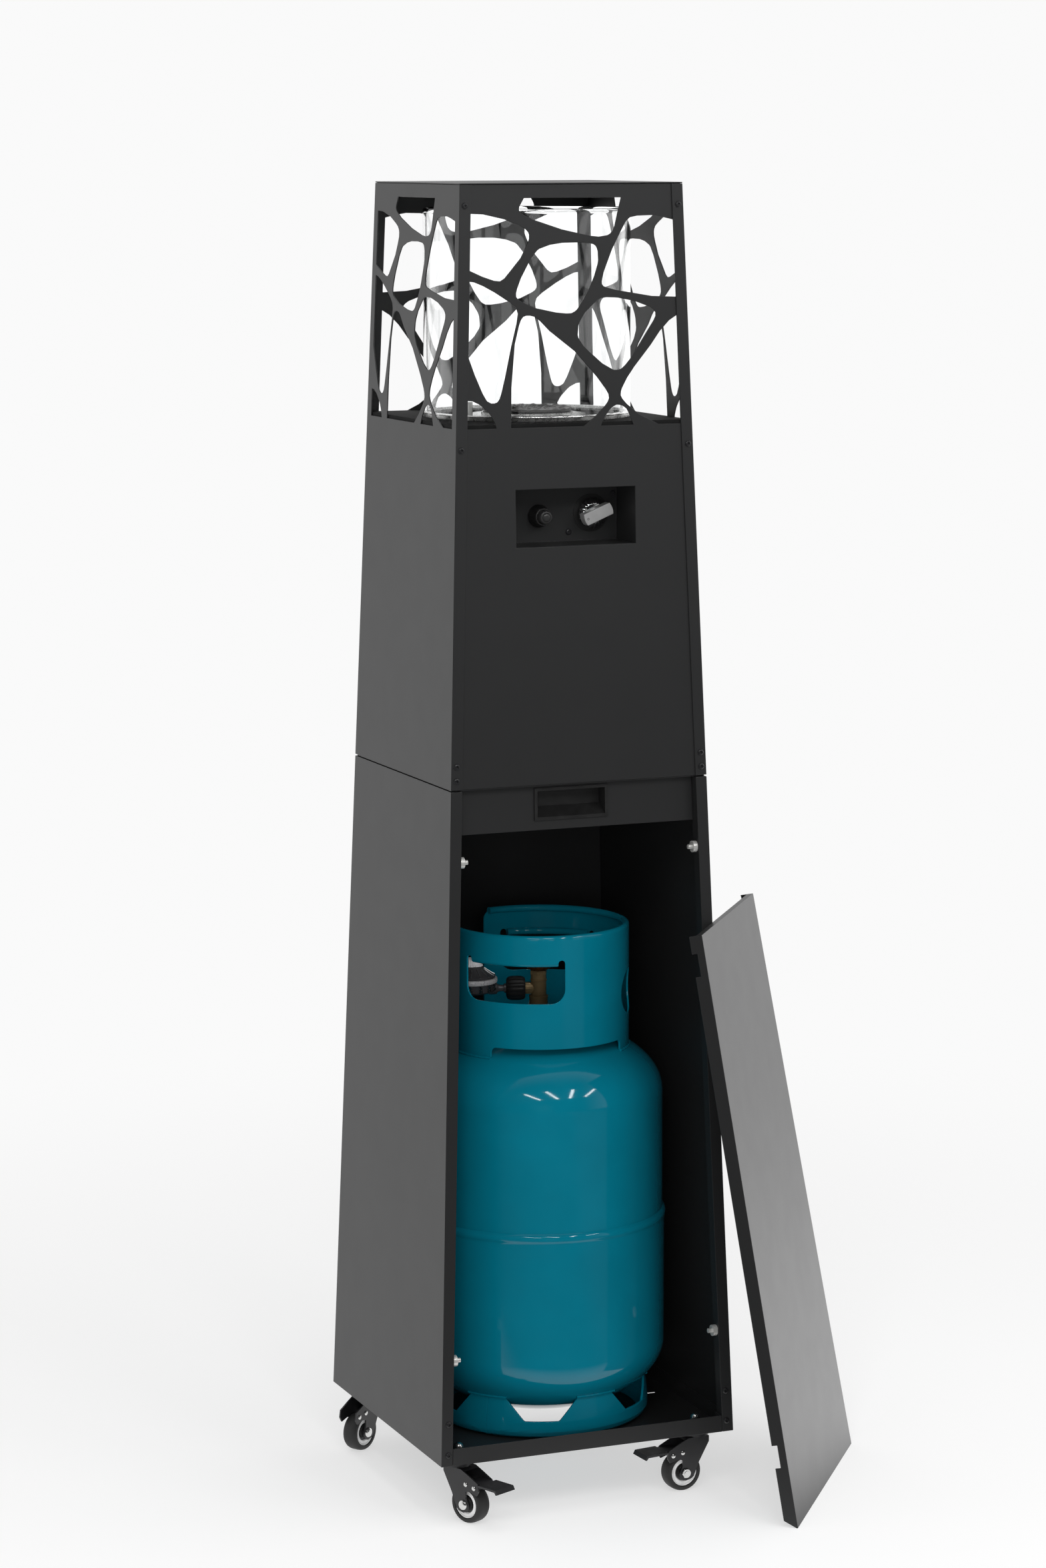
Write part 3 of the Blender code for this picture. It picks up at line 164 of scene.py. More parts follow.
def combined(tree, operation, first, second):
    return add_node(tree, "ShaderNodeMath", {0: first, 1: second}, operation=operation).outputs[0]


def mixed(tree, share, first, second):
    return add_node(tree, "ShaderNodeMixShader", {0: share, 1: first, 2: second}).outputs[0]


def glowing(tree, strength, kind="ShaderNodeEmission"):
    return add_node(tree, kind, values={"Color": white, "Strength": strength})


def parts_of(tree, source):
    return add_node(tree, "ShaderNodeSeparateXYZ", {0: source}).outputs


def fresh_tree(holder):
    holder.use_nodes = True
    holder.node_tree.nodes.clear()
    return holder.node_tree


def floor_seen(tree, place):
    """Floor to the eye: near the object it takes the shadow, further out it is as white as the backdrop."""
    diffuse = add_node(tree, "ShaderNodeBsdfDiffuse", values={"Color": floor_colour})
    glow = glowing(tree, floor_glow)
    near = add_node(tree, "ShaderNodeAddShader", {0: diffuse.outputs[0], 1: glow.outputs[0]})
    distance = add_node(tree, "ShaderNodeVectorMath", {0: place}, operation="LENGTH").outputs["Value"]
    fade = eased(tree, distance, floor_near, floor_far, 0, 1)
    return mixed(tree, fade, near.outputs[0], glowing(tree, backdrop_glow).outputs[0])


def floor_mirrored(tree, place):
    """Floor in a gloss: dark in front, as a studio is behind the camera, and bright at the right."""
    parts = parts_of(tree, place)
    front = eased(tree, parts["Y"], *front_floor_span, front_floor_glow, backdrop_glow)
    rise = eased(tree, parts["X"], *right_floor_start, 1, 1 + right_floor_glow)
    fall = eased(tree, parts["X"], *right_floor_end, 1, 1 / (1 + right_floor_glow))
    beside = combined(tree, "MULTIPLY", rise, fall)
    glow = glowing(tree, backdrop_glow)
    tree.links.new(combined(tree, "MULTIPLY", beside, front), glow.inputs["Strength"])
    return glow.outputs[0]


def make_floor():
    mesh = bpy.data.meshes.new("floor")
    corners = ((-1, -1), (1, -1), (1, 1), (-1, 1))
    mesh.from_pydata([(x * floor_half, y * floor_half, 0) for x, y in corners], [], [(0, 1, 2, 3)])
    floor = link_object("floor", mesh)
    material = bpy.data.materials.new("studio_floor")
    mesh.materials.append(material)
    tree = fresh_tree(material)
    place = add_node(tree, "ShaderNodeTexCoord").outputs["Object"]
    gloss = add_node(tree, "ShaderNodeLightPath").outputs["Is Glossy Ray"]
    seen = mixed(tree, gloss, floor_seen(tree, place), floor_mirrored(tree, place))
    add_node(tree, "ShaderNodeOutputMaterial", {"Surface": seen})


def make_world():
    """White to the camera; in a gloss dark in front, bright behind and at the right; plain fill light."""
    world = bpy.data.worlds.new("studio")
    bpy.context.scene.world = world
    tree = fresh_tree(world)
    kind = "ShaderNodeBackground"
    parts = parts_of(tree, add_node(tree, "ShaderNodeTexCoord").outputs["Generated"])
    behind = eased(tree, parts["Y"], *behind_span, front_glow, backdrop_glow)
    beside = eased(tree, parts["X"], *right_span, 0, right_glow)
    mirrored_light = glowing(tree, backdrop_glow, kind)
    tree.links.new(combined(tree, "ADD", behind, beside), mirrored_light.inputs["Strength"])
    choices = {
        "Is Glossy Ray": mirrored_light,
        "Is Camera Ray": glowing(tree, backdrop_glow, kind),
        "Is Transmission Ray": glowing(tree, through_glow, kind),
    }
    path = add_node(tree, "ShaderNodeLightPath")
    seen = glowing(tree, fill_glow, kind).outputs[0]
    for ray, background in choices.items():
        seen = mixed(tree, path.outputs[ray], seen, background.outputs[0])
    add_node(tree, "ShaderNodeOutputWorld", {"Surface": seen})


lamps = {
    "key": ((-3.4, -4.0, 3.9), (0, 0, 0.8), (2.6, 2.6), 30),
    "overhead": ((0.6, -0.8, 4.4), (0, 0, 0.8), (2.4, 2.4), 30),
    "low_front": ((-1.8, -4.7, 1.2), (0, 0, 0.5), (1.8, 1.6), 68),
    "door_side": ((3.0, 1.9, 0.5), (0.2, -0.2, 0.5), (2.6, 2.2), 10),
}
mirrored_lamps = ("door_side",)
tube_rolls = {-1.44: 46, -0.36: 22, 0.64: -24, 1.72: -52}
tube_level = (-2.66, 2.76)
tube_size = (0.15, 1.25)
tube_power = 10
tube_aim = (0, 0, 0.5)


def area_lamp(name, place, aim, size, power):
    data = bpy.data.lights.new(name, "AREA")
    data.shape = "RECTANGLE"
    data.size, data.size_y = size
    data.energy = power
    lamp = link_object(name, data)
    lamp.location = in_tower(*place)
    lamp.rotation_mode = "QUATERNION"
    lamp.rotation_quaternion = (in_tower(*aim) - lamp.location).to_track_quat("-Z", "Y")
    lamp.visible_camera = False
    lamp.visible_transmission = False
    return lamp


def make_lamps():
    for name, (place, aim, size, power) in lamps.items():
        lamp = area_lamp(name, place, aim, size, power)
        lamp.visible_glossy = name in mirrored_lamps
    for index, (x, roll) in enumerate(tube_rolls.items()):
        tube = area_lamp(f"tube_{index}", (x, *tube_level), tube_aim, tube_size, tube_power)
        tube.rotation_quaternion @= Quaternion((0, 0, 1), radians(roll))


# Materials

even = (1, 1, 1)
noise_span = (0.3, 0.7)
metal_clouds = (0.02, 4, 0.88, 1.06)
metal_strength = 0.5
plastic_clouds = (0.02, 3, 0.8, 1.25)
plastic_sheen = (0.01, 3, 0.06)
plastic_strength = 0.6


class Look:
    """A Principled material with noise layers measured in metres."""

    def __init__(self, name, colour, roughness, metallic):
        self.material = bpy.data.materials.new(name)
        self.material.use_nodes = True
        self.tree = self.material.node_tree
        self.shader = self.tree.nodes["Principled BSDF"]
        self.set(Base_Color=(*colour, 1), Roughness=roughness, Metallic=metallic)
        self.place = add_node(self.tree, "ShaderNodeTexCoord").outputs["Object"]
        self.normal = None

    def set(self, **values):
        for name, value in values.items():
            self.shader.inputs[name.replace("_", " ")].default_value = value

    def feed(self, name, output):
        self.tree.links.new(output, self.shader.inputs[name])

    def noise(self, size, detail=2, stretch=even):
        mapping = add_node(self.tree, "ShaderNodeMapping", {"Vector": self.place}, {"Scale": stretch})
        links = {"Vector": mapping.outputs[0]}
        values = {"Scale": 1 / size, "Detail": detail}
        return add_node(self.tree, "ShaderNodeTexNoise", links, values).outputs["Fac"]

    def ranged(self, source, low, high):
        return eased(self.tree, source, *noise_span, low, high, "LINEAR")

    def tint(self, source, first, second):
        links = {"Factor": self.ranged(source, 0, 1)}
        values = {"A": (*first, 1), "B": (*second, 1)}
        mix = add_node(self.tree, "ShaderNodeMix", links, values, data_type="RGBA")
        self.feed("Base Color", mix.outputs["Result"])

    def rough(self, source, roughness, spread):
        self.feed("Roughness", self.ranged(source, roughness - spread, roughness + spread))

    def bump(self, height, depth, strength):
        links = {"Height": height}
        if self.normal:
            links["Normal"] = self.normal
        values = {"Distance": depth, "Strength": strength}
        self.normal = add_node(self.tree, "ShaderNodeBump", links, values).outputs["Normal"]
        self.feed("Normal", self.normal)


def shaded(colour, factor):
    return [value * factor for value in colour]


def surface(name, colour, roughness, clouds=None, sheen=None, relief=(), share=0, stretch=even, **sockets):
    """Noise layers: clouds with two shades, sheen with its spread, relief with depth and strength."""
    look = Look(name, colour, roughness, share)
    if clouds:
        size, detail, darker, paler = clouds
        look.tint(look.noise(size, detail), shaded(colour, darker), shaded(colour, paler))
    if sheen:
        size, detail, spread = sheen
        look.rough(look.noise(size, detail, stretch), roughness, spread)
    for size, depth, strength in relief:
        look.bump(look.noise(size, stretch=stretch), depth, strength)
    look.set(**sockets)
    return look.material


def metal(name, colour, roughness, grain=0.0012, depth=0.00001, spread=0.06, share=1, stretch=even):
    sheen = (grain * 3, 3, spread)
    relief = ((grain, depth, metal_strength),)
    return surface(name, colour, roughness, metal_clouds, sheen, relief, share, stretch)


def plastic(name, colour, roughness, grain=0.0008, depth=0.00002):
    relief = ((grain, depth, plastic_strength),)
    return surface(name, colour, roughness, plastic_clouds, plastic_sheen, relief)


looks = {
    "powder_coat": surface(
        "powder_coat", (0.0122, 0.0124, 0.0128), 0.45, clouds=(0.12, 3, 0.97, 1.03), sheen=(0.04, 3, 0.008),
        relief=((0.0042, 0.00003, 0.5), (0.0009, 0.00002, 0.6)),
    ),
    "bottle_paint": surface(
        "teal_enamel", (0.0008, 0.125, 0.182), 0.075, clouds=(0.1, 5, 0.93, 1.07), sheen=(0.03, 5, 0.02),
        relief=((0.012, 0.00001, 0.4), (0.0016, 0.00001, 0.3)),
    ),
    "zinc": metal("zinc_plate", (0.6, 0.6, 0.58), 0.32, share=0.6),
    "steel": metal("plain_steel", (0.56, 0.56, 0.55), 0.28),
    "chrome": metal("chrome_plate", (0.8, 0.8, 0.81), 0.1, spread=0.03, depth=0.000003),
    "satin_steel": metal(
        "satin_steel", (0.4, 0.4, 0.4), 0.4, grain=0.0005, spread=0.05, share=0.45, stretch=(1, 1, 12),
    ),
    "brass": metal("dull_brass", (0.25, 0.18, 0.09), 0.42, grain=0.0014, depth=0.00004, share=0.7),
    "black_plastic": plastic("black_plastic", (0.009, 0.009, 0.009), 0.42),
    "black_steel": plastic("black_steel", (0.01, 0.01, 0.011), 0.38, grain=0.0015),
    "rubber": plastic("rubber", (0.015, 0.015, 0.015), 0.68, grain=0.0006, depth=0.00003),
    "glass": surface(
        "clear_glass", (0.985, 0.99, 0.99), 0, relief=((0.05, 0.0002, 0.15),),
        Transmission_Weight=1, IOR=1.47,
    ),
    "aluminium": metal("cast_aluminium", (0.58, 0.59, 0.6), 0.4, depth=0.00004),
}
wheel_look = metal("bronze_lacquer", (0.42, 0.15, 0.055), 0.4, grain=0.0014, depth=0.00004)
wheel_ring_look = plastic("pale_nylon", (0.7, 0.7, 0.7), 0.4)
button_look = plastic("button_plastic", (0.022, 0.022, 0.022), 0.3)
bolt_look = metal("bright_bolt", (0.7, 0.7, 0.69), 0.25, grain=0.0008)
# painted shade: the regulator's casting and neck are darkened to stand for the dark cabinet they mirror
regulator_shade_look = metal("grey_casting_painted_shade", (0.1, 0.1, 0.105), 0.34, depth=0.00002, share=0.6)
cap_look = plastic("pale_cap", (0.66, 0.66, 0.68), 0.45)
# near-black steel tone for the burner mat, much darker than the plain steel
mat_look = metal("dark_steel_mat", (0.085, 0.083, 0.08), 0.42, grain=0.0008, share=0.8)
# painted highlight: the band round the regulator's rim is paler than the casting, standing for light on the
# rounded rim
band_highlight_look = metal("satin_band_painted_highlight", (0.5, 0.5, 0.51), 0.3, grain=0.0008, share=0.35)
own_looks = {"burner_deck": surface(
    "stove_black", (0.005, 0.005, 0.005), 0.75, clouds=(0.03, 4, 1, 1.6), relief=((0.0012, 0.00004, 0.6),),
    Specular_IOR_Level=0.12,
)}


# The frame's own nodes

split_angle = radians(35)
weld_distance = 0.00001
fold_bevels = {"powder_coat": 0.0006, "satin_steel": 0.0007}
flat_angle = radians(1)
fold_angle = radians(50)
fold_segments = 2
normal_weight = 100


def plain_normals(item):
    """Drops the frame's stored normals and welds its split points."""
    if "custom_normal" in item.data.attributes:
        item.data.attributes.remove(item.data.attributes["custom_normal"])
    item.data.shade_smooth()
    weld = item.modifiers.new("weld", "WELD")
    weld.merge_threshold = weld_distance


def weigh_normals(item):
    """Keeps the large faces flat beside their rounded edges."""
    weighted = item.modifiers.new("weighted", "WEIGHTED_NORMAL")
    weighted.weight = normal_weight


def smooth_by_angle(item):
    """Keeps only the real edges sharp."""
    plain_normals(item)
    split = item.modifiers.new("split", "EDGE_SPLIT")
    split.use_edge_angle = True
    split.use_edge_sharp = False
    split.split_angle = split_angle


def round_folds(item, width):
    """Rounds the folds and cut edges of a sheet piece a little."""
    plain_normals(item)
    flat = item.modifiers.new("flat", "DECIMATE")
    flat.decimate_type = "DISSOLVE"
    flat.angle_limit = flat_angle
    bevel = item.modifiers.new("bevel", "BEVEL")
    bevel.width = width
    bevel.segments = fold_segments
    bevel.limit_method = "ANGLE"
    bevel.angle_limit = fold_angle
    bevel.use_clamp_overlap = False
    bevel.loop_slide = False
    weigh_normals(item)


def dress_nodes():
    for row in frame["record"]["subparts"]:
        item = frame["nodes"][row["node"]]
        material = own_looks.get(row["node"]) or looks[row["material_slot"]]
        if not item.material_slots:
            item.data.materials.append(material)
        for slot in item.material_slots:
            slot.material = material
        if row["material_slot"] in fold_bevels:
            round_folds(item, fold_bevels[row["material_slot"]])
        else:
            smooth_by_angle(item)


# Small pieces

lump_turns = (2.4, 1.1)


def finish_piece(item, look, body, slot):
    item.data.materials.append(look or looks[slot])
    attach(item, body)
    return item


def loft(name, rings, body, slot, look=None, loop=False, place=None, turn=None):
    """Skin over rings of points; its ends are capped unless the rings close on themselves."""
    count = len(rings[0])
    faces = []
    for index in range(len(rings) if loop else len(rings) - 1):
        start = index * count
        after = (index + 1) % len(rings) * count
        for step in range(count):
            other = (step + 1) % count
            faces.append((start + step, start + other, after + other, after + step))
    if not loop:
        faces.append(tuple(range(count)))
        faces.append(tuple(range((len(rings) - 1) * count, len(rings) * count)))
    mesh = bpy.data.meshes.new(name)
    mesh.from_pydata([tuple(point) for ring in rings for point in ring], [], faces)
    shell = bmesh.new()
    shell.from_mesh(mesh)
    bmesh.ops.recalc_face_normals(shell, faces=shell.faces)
    shell.to_mesh(mesh)
    shell.free()
    mesh.shade_smooth()
    mesh.set_sharp_from_angle(angle=split_angle)
    item = link_object(name, mesh)
    item.matrix_world = Matrix.Translation(place or Vector()) @ (turn or Matrix()).to_4x4()
    return finish_piece(item, look, body, slot)


def polygon_share(angle, sides):
    """How far out a regular polygon's side is at an angle, as a share of its corners' radius."""
    if not sides:
        return 1
    part = 2 * pi / sides
    return cos(part / 2) / cos(angle % part - part / 2)


def round_rings(profile, steps, lobes=0, lobe_share=0):
    """Rings of a turned form; a profile point is radius, height and, for a hex or square, its sides."""
    rings = []
    for radius, rise, *sides in profile:
        ring = []
        for step in range(steps):
            angle = 2 * pi * step / steps
            out = radius * polygon_share(angle, sides[0] if sides else 0)
            out *= 1 - lobe_share * (1 - abs(cos(lobes * angle / 2)))
            ring.append(Vector((out * cos(angle), out * sin(angle), rise)))
        rings.append(ring)
    return rings


def facing(along):
    return Vector(along).to_track_quat("Z", "Y").to_matrix()


def lathe(name, profile, body, slot, place, along=(0, 0, 1), steps=32, lobes=0, lobe_share=0, **options):
    """Turned piece standing on a place, its height along a direction."""
    rings = round_rings(profile, steps, lobes, lobe_share)
    return loft(name, rings, body, slot, place=place, turn=facing(along), **options)


def same_again(name, first, place, along, body):
    """Another object on the same mesh."""
    item = link_object(name, first.data)
    item.matrix_world = Matrix.Translation(place) @ facing(along).to_4x4()
    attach(item, body)
    return item


def flutes(count, share, fineness=8):
    """Options of a turned piece with flutes round it."""
    return {"steps": count * fineness, "lobes": count, "lobe_share": share}


def bead(name, path, radius, body, slot, look=None, steps=8, lumps=0):
    """Round bead along a path of points, with small lumps for a weld."""
    first_turn, second_turn = lump_turns
    rings = []
    for index, point in enumerate(path):
        before = path[max(index - 1, 0)]
        after = path[min(index + 1, len(path) - 1)]
        turn = facing(after - before)
        wide = radius * (1 + lumps * sin(index * first_turn) * cos(index * second_turn))
        rings.append([point + turn @ Vector((wide * cos(a), wide * sin(a), 0)) for a in circle(steps)])
    return loft(name, rings, body, slot, look)


def circle(steps):
    return [2 * pi * step / steps for step in range(steps)]


# Screws and nuts

side_words = {-1: "front", 1: "back"}
hand_words = {-1: "left", 1: "right"}
screw_profile = (
    (0.004, 0.0), (0.004, 0.0003), (0.0038, 0.0009), (0.0033, 0.0014), (0.0026, 0.0018),
    (0.002, 0.0019), (0.0017, 0.0018, 6), (0.0016, 0.0006, 6),
)
screw_steps = 24
front_screws = {"upper": ((1.5538, 1.26, 0.8746, 0.857), 0.007), "lower": ((0.0532, 0.014), 0.009)}
back_screws = {"upper": ((1.5538, 1.26, 0.87), 0.007), "lower": ((0.12, 0.43, 0.82), 0.009)}
box_screws = ((-0.03, -0.023), (0.03, 0.023))
lid_nut_reach = 0.12
lid_nut_drop = 0.008
nut_profile = (
    (0.004, 0.0, 6), (0.0043, 0.0004, 6), (0.0043, 0.0024, 6), (0.0036, 0.003), (0.002, 0.003),
    (0.0018, 0.0042),
)
washer_profile = ((0.0095, 0.0), (0.0095, 0.0008), (0.0091, 0.0011), (0.006, 0.0011))
stem_nut_profile = (
    (0.007, 0.0, 6), (0.0077, 0.0005, 6), (0.0077, 0.0062, 6), (0.0068, 0.007), (0.0066, 0.009),
    (0.0061, 0.0114), (0.005, 0.0132), (0.0034, 0.0144), (0.0014, 0.0149),
)


def screw_places():
    """Name, place and direction of each screw along the corner flanges."""
    for side, word in side_words.items():
        rows = front_screws if side < 0 else back_screws
        for part, (heights, inset) in rows.items():
            for hand, hand_word in hand_words.items():
                for index, height in enumerate(heights):
                    half = half_at(height)
                    place = in_tower(hand * (half - inset), side * half, height)
                    yield f"screw_{part}_{word}_{hand_word}_{index}", place, Vector((0, side, narrowing))


def screws():
    """Button-head screws with a hex socket, all on one mesh."""
    first = None
    for name, place, outward in screw_places():
        if first:
            same_again(name, first, place, outward, "heater")
        else:
            first = lathe(name, screw_profile, "heater", "black_steel", place, outward, screw_steps)


def lid_nuts():
    """Nuts of the screws that hold the lid's skirt, on its inner side."""
    height = tower_height - lid_nut_drop
    inside = half_at(height) - sheet * 2 - seat_gap * 2
    for side, word in side_words.items():
        for hand, hand_word in hand_words.items():
            place = in_tower(hand * lid_nut_reach, side * (inside - sheet), height)
            inward = (0, -side, 0)
            lathe(f"lid_nut_{word}_{hand_word}", nut_profile, "heater", "zinc", place, inward, screw_steps)


def stem_nuts():
    """Washer and cap nut on each castor's stem, on the tray."""
    for word in castor_words:
        stem_low, stem_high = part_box(f"castor_head_{word}")
        place = (stem_low + stem_high) / 2
        place.z = cabinet_bottom + sheet
        lathe(f"stem_washer_{word}", washer_profile, "heater", "zinc", place)
        place.z += washer_profile[-1][1]
        lathe(f"stem_nut_{word}", stem_nut_profile, "heater", "zinc", place, look=bolt_look)


# Control box

# painted shadow: profile of the thin black disc that darkens the back wall round the knob
shadow_disc_profile = ((0.0235, 0.0), (0.0235, 0.0007), (0.0228, 0.001), (0.0066, 0.001), (0.0066, 0.0))
knob_lobes = 18
knob_lobe_share = 0.07
grip_tilt = radians(22)
grip_dimple_out = 0.0152
# painted shade: profile of a black ring that stands for the shaded edge of the dimple on the knob's grip
dimple_shade_profile = ((0.0014, 0.0), (0.0014, 0.00012), (0.0011, 0.00016), (0.0009, 0.0001), (0.0009, 0.0))
sleeve_profile = ((0.0109, 0.0034), (0.0115, 0.004), (0.0115, 0.0165), (0.0111, 0.0174), (0.0109, 0.0174))
sleeve_lobes = 32
sleeve_lobe_share = 0.05
rim_profile = ((0.009, -0.0004), (0.0093, 0.0003), (0.01, 0.0006), (0.0106, 0.0003), (0.0108, -0.0004))
push_profile = (
    (0.0083, 0.0), (0.0083, 0.0148), (0.0081, 0.0157), (0.0075, 0.0164), (0.0066, 0.0168), (0.0057, 0.0168),
    (0.0054, 0.0165), (0.0052, 0.0168), (0.0048, 0.0175), (0.0038, 0.018), (0.002, 0.0183),
)
to_front = (0, -1, 0)
knob_shares = ((0.97, 0), (1, 0.08), (1, 0.25), (0.97, 0.33), (0.68, 0.97), (0.646, 1))
shadow_disc_steps = 64
igniter_steps = 48


def knob_pieces(back):
    """Black disc painting the knob's shadow, the screws beside it, the fluted knob, and painted shade round
    its grip's dimple.
    """
    knob_low, knob_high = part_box("knob_base")
    axis = (knob_low + knob_high) / 2
    at_back = Vector((axis.x, back, axis.z))
    # painted shadow: the black disc stands where the knob's shadow falls on the back wall
    lathe("knob_painted_shadow_disc", shadow_disc_profile, "heater", "black_plastic", at_back, to_front, shadow_disc_steps, loop=True)
    for index, (x, z) in enumerate(box_screws):
        place = at_back + Vector((x, 0, z))
        lathe(f"box_screw_{index}", screw_profile, "heater", "black_steel", place, to_front, screw_steps)
    radius = (knob_high.x - knob_low.x) / 2
    depth = knob_high.y - knob_low.y
    profile = [(radius * out, depth * rise) for out, rise in knob_shares]
    place = Vector((axis.x, knob_high.y, axis.z))
    options = flutes(knob_lobes, knob_lobe_share)
    knob = lathe("knob_cone", profile, "knob", "chrome", place, to_front, **options)
    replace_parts(knob, "knob_base")
    reach = Vector((cos(grip_tilt), 0, sin(grip_tilt))) * grip_dimple_out
    place = Vector((axis.x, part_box("knob_grip")[0].y, axis.z)) - reach
    # painted shade: the black ring darkens the grip where the dimple's edge is in shade
    lathe("knob_dimple_shade_ring", dimple_shade_profile, "knob", "black_steel", place, to_front, screw_steps, loop=True)


def igniter_pieces(back):
    """The igniter's ribbed sleeve, its rim and the push button."""
    body_low, body_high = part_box("igniter_body")
    axis = (body_low + body_high) / 2
    place = Vector((axis.x, back, axis.z))
    options = flutes(sleeve_lobes, sleeve_lobe_share, 4)
    lathe("igniter_sleeve", sleeve_profile, "heater", "black_plastic", place, to_front, loop=True, **options)
    options = {"steps": igniter_steps, "look": button_look}
    place = Vector((axis.x, body_low.y, axis.z))
    lathe("igniter_rim", rim_profile, "heater", "black_plastic", place, to_front, loop=True, **options)
    place = Vector((axis.x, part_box("igniter_button")[1].y, axis.z))
    push = lathe("igniter_push", push_profile, "button", "black_plastic", place, to_front, **options)
    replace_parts(push, "igniter_button")


def control_pieces():
    """Pieces on the back wall of the control box."""
    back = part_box("control_recess")[1].y - sheet
    knob_pieces(back)
    igniter_pieces(back)


# Flame housing

mat_radius = 0.0565
mat_rise = 0.0018
mat_edge_rise = 0.0012
mat_turns = (11, 7, 23)
mat_shifts = (9, -14, 31)
mat_fine_share = 0.5
mat_edge_slope = (4, 0.3)
mat_middle_slope = (3, 0.2)
mat_rings = 22
mat_steps = 120
gallery_bead_radius = 0.0012
gallery_bead_steps = 10
glass_wall = 0.004
glass_steps = 128
glass_round = 4


def mat_height(angle, share):
    """Height of the crinkled mat at an angle and at a share of its radius."""
    waves = [turns * angle + shift * share for turns, shift in zip(mat_turns, mat_shifts)]
    fold = sin(waves[0]) * cos(waves[1]) + mat_fine_share * sin(waves[2])
    slope, start = mat_edge_slope
    fold *= min(1, slope * (1 - share) + start)
    slope, start = mat_middle_slope
    return mat_edge_rise + mat_rise * (1 + fold) * min(1, slope * share + start)


def burner_mat():
    """Crinkled steel mat on the burner, its folds running round and across."""
    rings = []
    for ring in range(mat_rings + 1):
        share = 1 - ring / (mat_rings + 1)
        out = mat_radius * share
        rings.append([Vector((out * cos(a), out * sin(a), mat_height(a, share))) for a in circle(mat_steps)])
    foot = [Vector((point.x, point.y, 0)) for point in rings[0]]
    loft("burner_mat", [foot, *rings], "heater", "steel", mat_look, place=seat_of("burner_head", True))


def gallery_bead():
    """Rolled top edge of the gallery that holds the glass."""
    low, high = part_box("glass_gallery")
    centre = seat_of("glass_gallery", True)
    radius = (high.x - low.x) / 2 - gallery_bead_radius
    profile = []
    for angle in circle(gallery_bead_steps):
        profile.append((radius + gallery_bead_radius * cos(angle), gallery_bead_radius * sin(angle)))
    lathe("gallery_bead", profile, "heater", "steel", centre, steps=glass_steps, loop=True, look=bolt_look)


def fine_glass():
    """The same glass cylinder with a finer round and melted rims."""
    low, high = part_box("glass_tube")
    outer = (high.x - low.x) / 2
    rise = high.z - low.z
    middle = outer - glass_wall / 2
    profile = []
    half = glass_wall / 2
    for start, centre, inward in ((0, rise - half, -glass_wall), (pi, half, glass_wall)):
        side = cos(start) * half
        profile.append((middle + side, centre + inward))
        for step in range(glass_round + 1):
            angle = start + pi * step / glass_round
            profile.append((middle + half * cos(angle), centre + half * sin(angle)))
        profile.append((middle - side, centre + inward))
    place = seat_of("glass_tube")
    glass = lathe("glass_cylinder", profile, "heater", "glass", place, steps=glass_steps, loop=True)
    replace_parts(glass, "glass_tube")


# Gas bottle

bottle_step = 0.0024
bead_proud = 0.0017
floor_drop = 0.088
floor_level = 0.0985
shoulder_level = 0.425
shoulder_rise = 0.088
bead_low = 0.262
bead_high = 0.27
bead_edge = 0.003
neck_radius = 0.019
neck_bore = 0.0135
bottle_steps = 144
collar_radius = 0.11475
collar_wall = 0.0025
sheet_edge = 0.0006
collar_foot = 0.4866
collar_top = 0.6448
collar_roll = 0.0045
collar_roll_inset = 0.0045
collar_corner = 0.012
collar_span = (180, 466)
collar_slits = ((216.5, 310.5), (340, 434))
collar_slit_top = 0.5
collar_slit_round = 0.007
collar_feet = ((180.5, 216), (311, 339.5), (434.5, 465.5))
front_hole = ((196.5, 264.5), 0.5584, 0.6051)
back_hole = ((388, 453.5), 0.5584, 0.6051)
hole_corner = 0.018
hook_width = 0.0087
hook_rise = 0.0085
round_hole_place = (329, 0.5577)
round_hole_half = (0.0325, 0.0288)
sheet_slice = radians(3)
foot_weld_radius = 0.1163
ring_weld_radius = 0.14
ring_radius = 0.1235
ring_wall = 0.003
ring_shares = (
    (0.0, 1.03), (0.0012, 1.075), (0.004, 1.106), (0.01, 1.128), (0.022, 1.128),
    (0.058, 1.095),
)
ring_top = 0.056
ring_first_notch = -111
ring_notches = 6
ring_solid_half = 11.5
notch_low_half = 10
notch_high_half = 21
notch_floor = 0.0238
notch_round = 0.0035
weld_size = 0.0018
weld_lumps = 0.16
outlet_angle = radians(160)
outlet_above_neck = 0.0345
floor_steps = 15
floor_reach = radians(75)
bead_steps = 6
bead_spread = 0.001
shoulder_steps = 21
shoulder_reach = 0.985
neck_weld = ((0.0012, 0.0008), (0, 0.0022))
neck_round = 0.001
neck_depth = 0.004
round_hole_steps = 48
notch_steps = 4
rim_steps = 18
weld_pace = 0.8


def bottle_centre():
    return seat_of("bottle_foot_ring")


def around_bottle(radius, angle, height):
    turn = radians(angle)
    return bottle_centre() + Vector((radius * cos(turn), radius * sin(turn), height))


def arc_path(radius, span, height, pace=2.5):
    start, end = span
    count = max(3, round((end - start) / pace))
    return [around_bottle(radius, start + (end - start) * step / count, height) for step in range(count + 1)]


def bottle_radii():
    low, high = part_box("bottle_body")
    lower = (high.x - low.x) / 2 - bead_proud
    return lower, lower - bottle_step


def floor_height(radius):
    return floor_level - floor_drop * sin(acos(radius / bottle_radii()[0]))


def shoulder_height(radius):
    return shoulder_level + shoulder_rise * sin(acos(radius / bottle_radii()[1]))


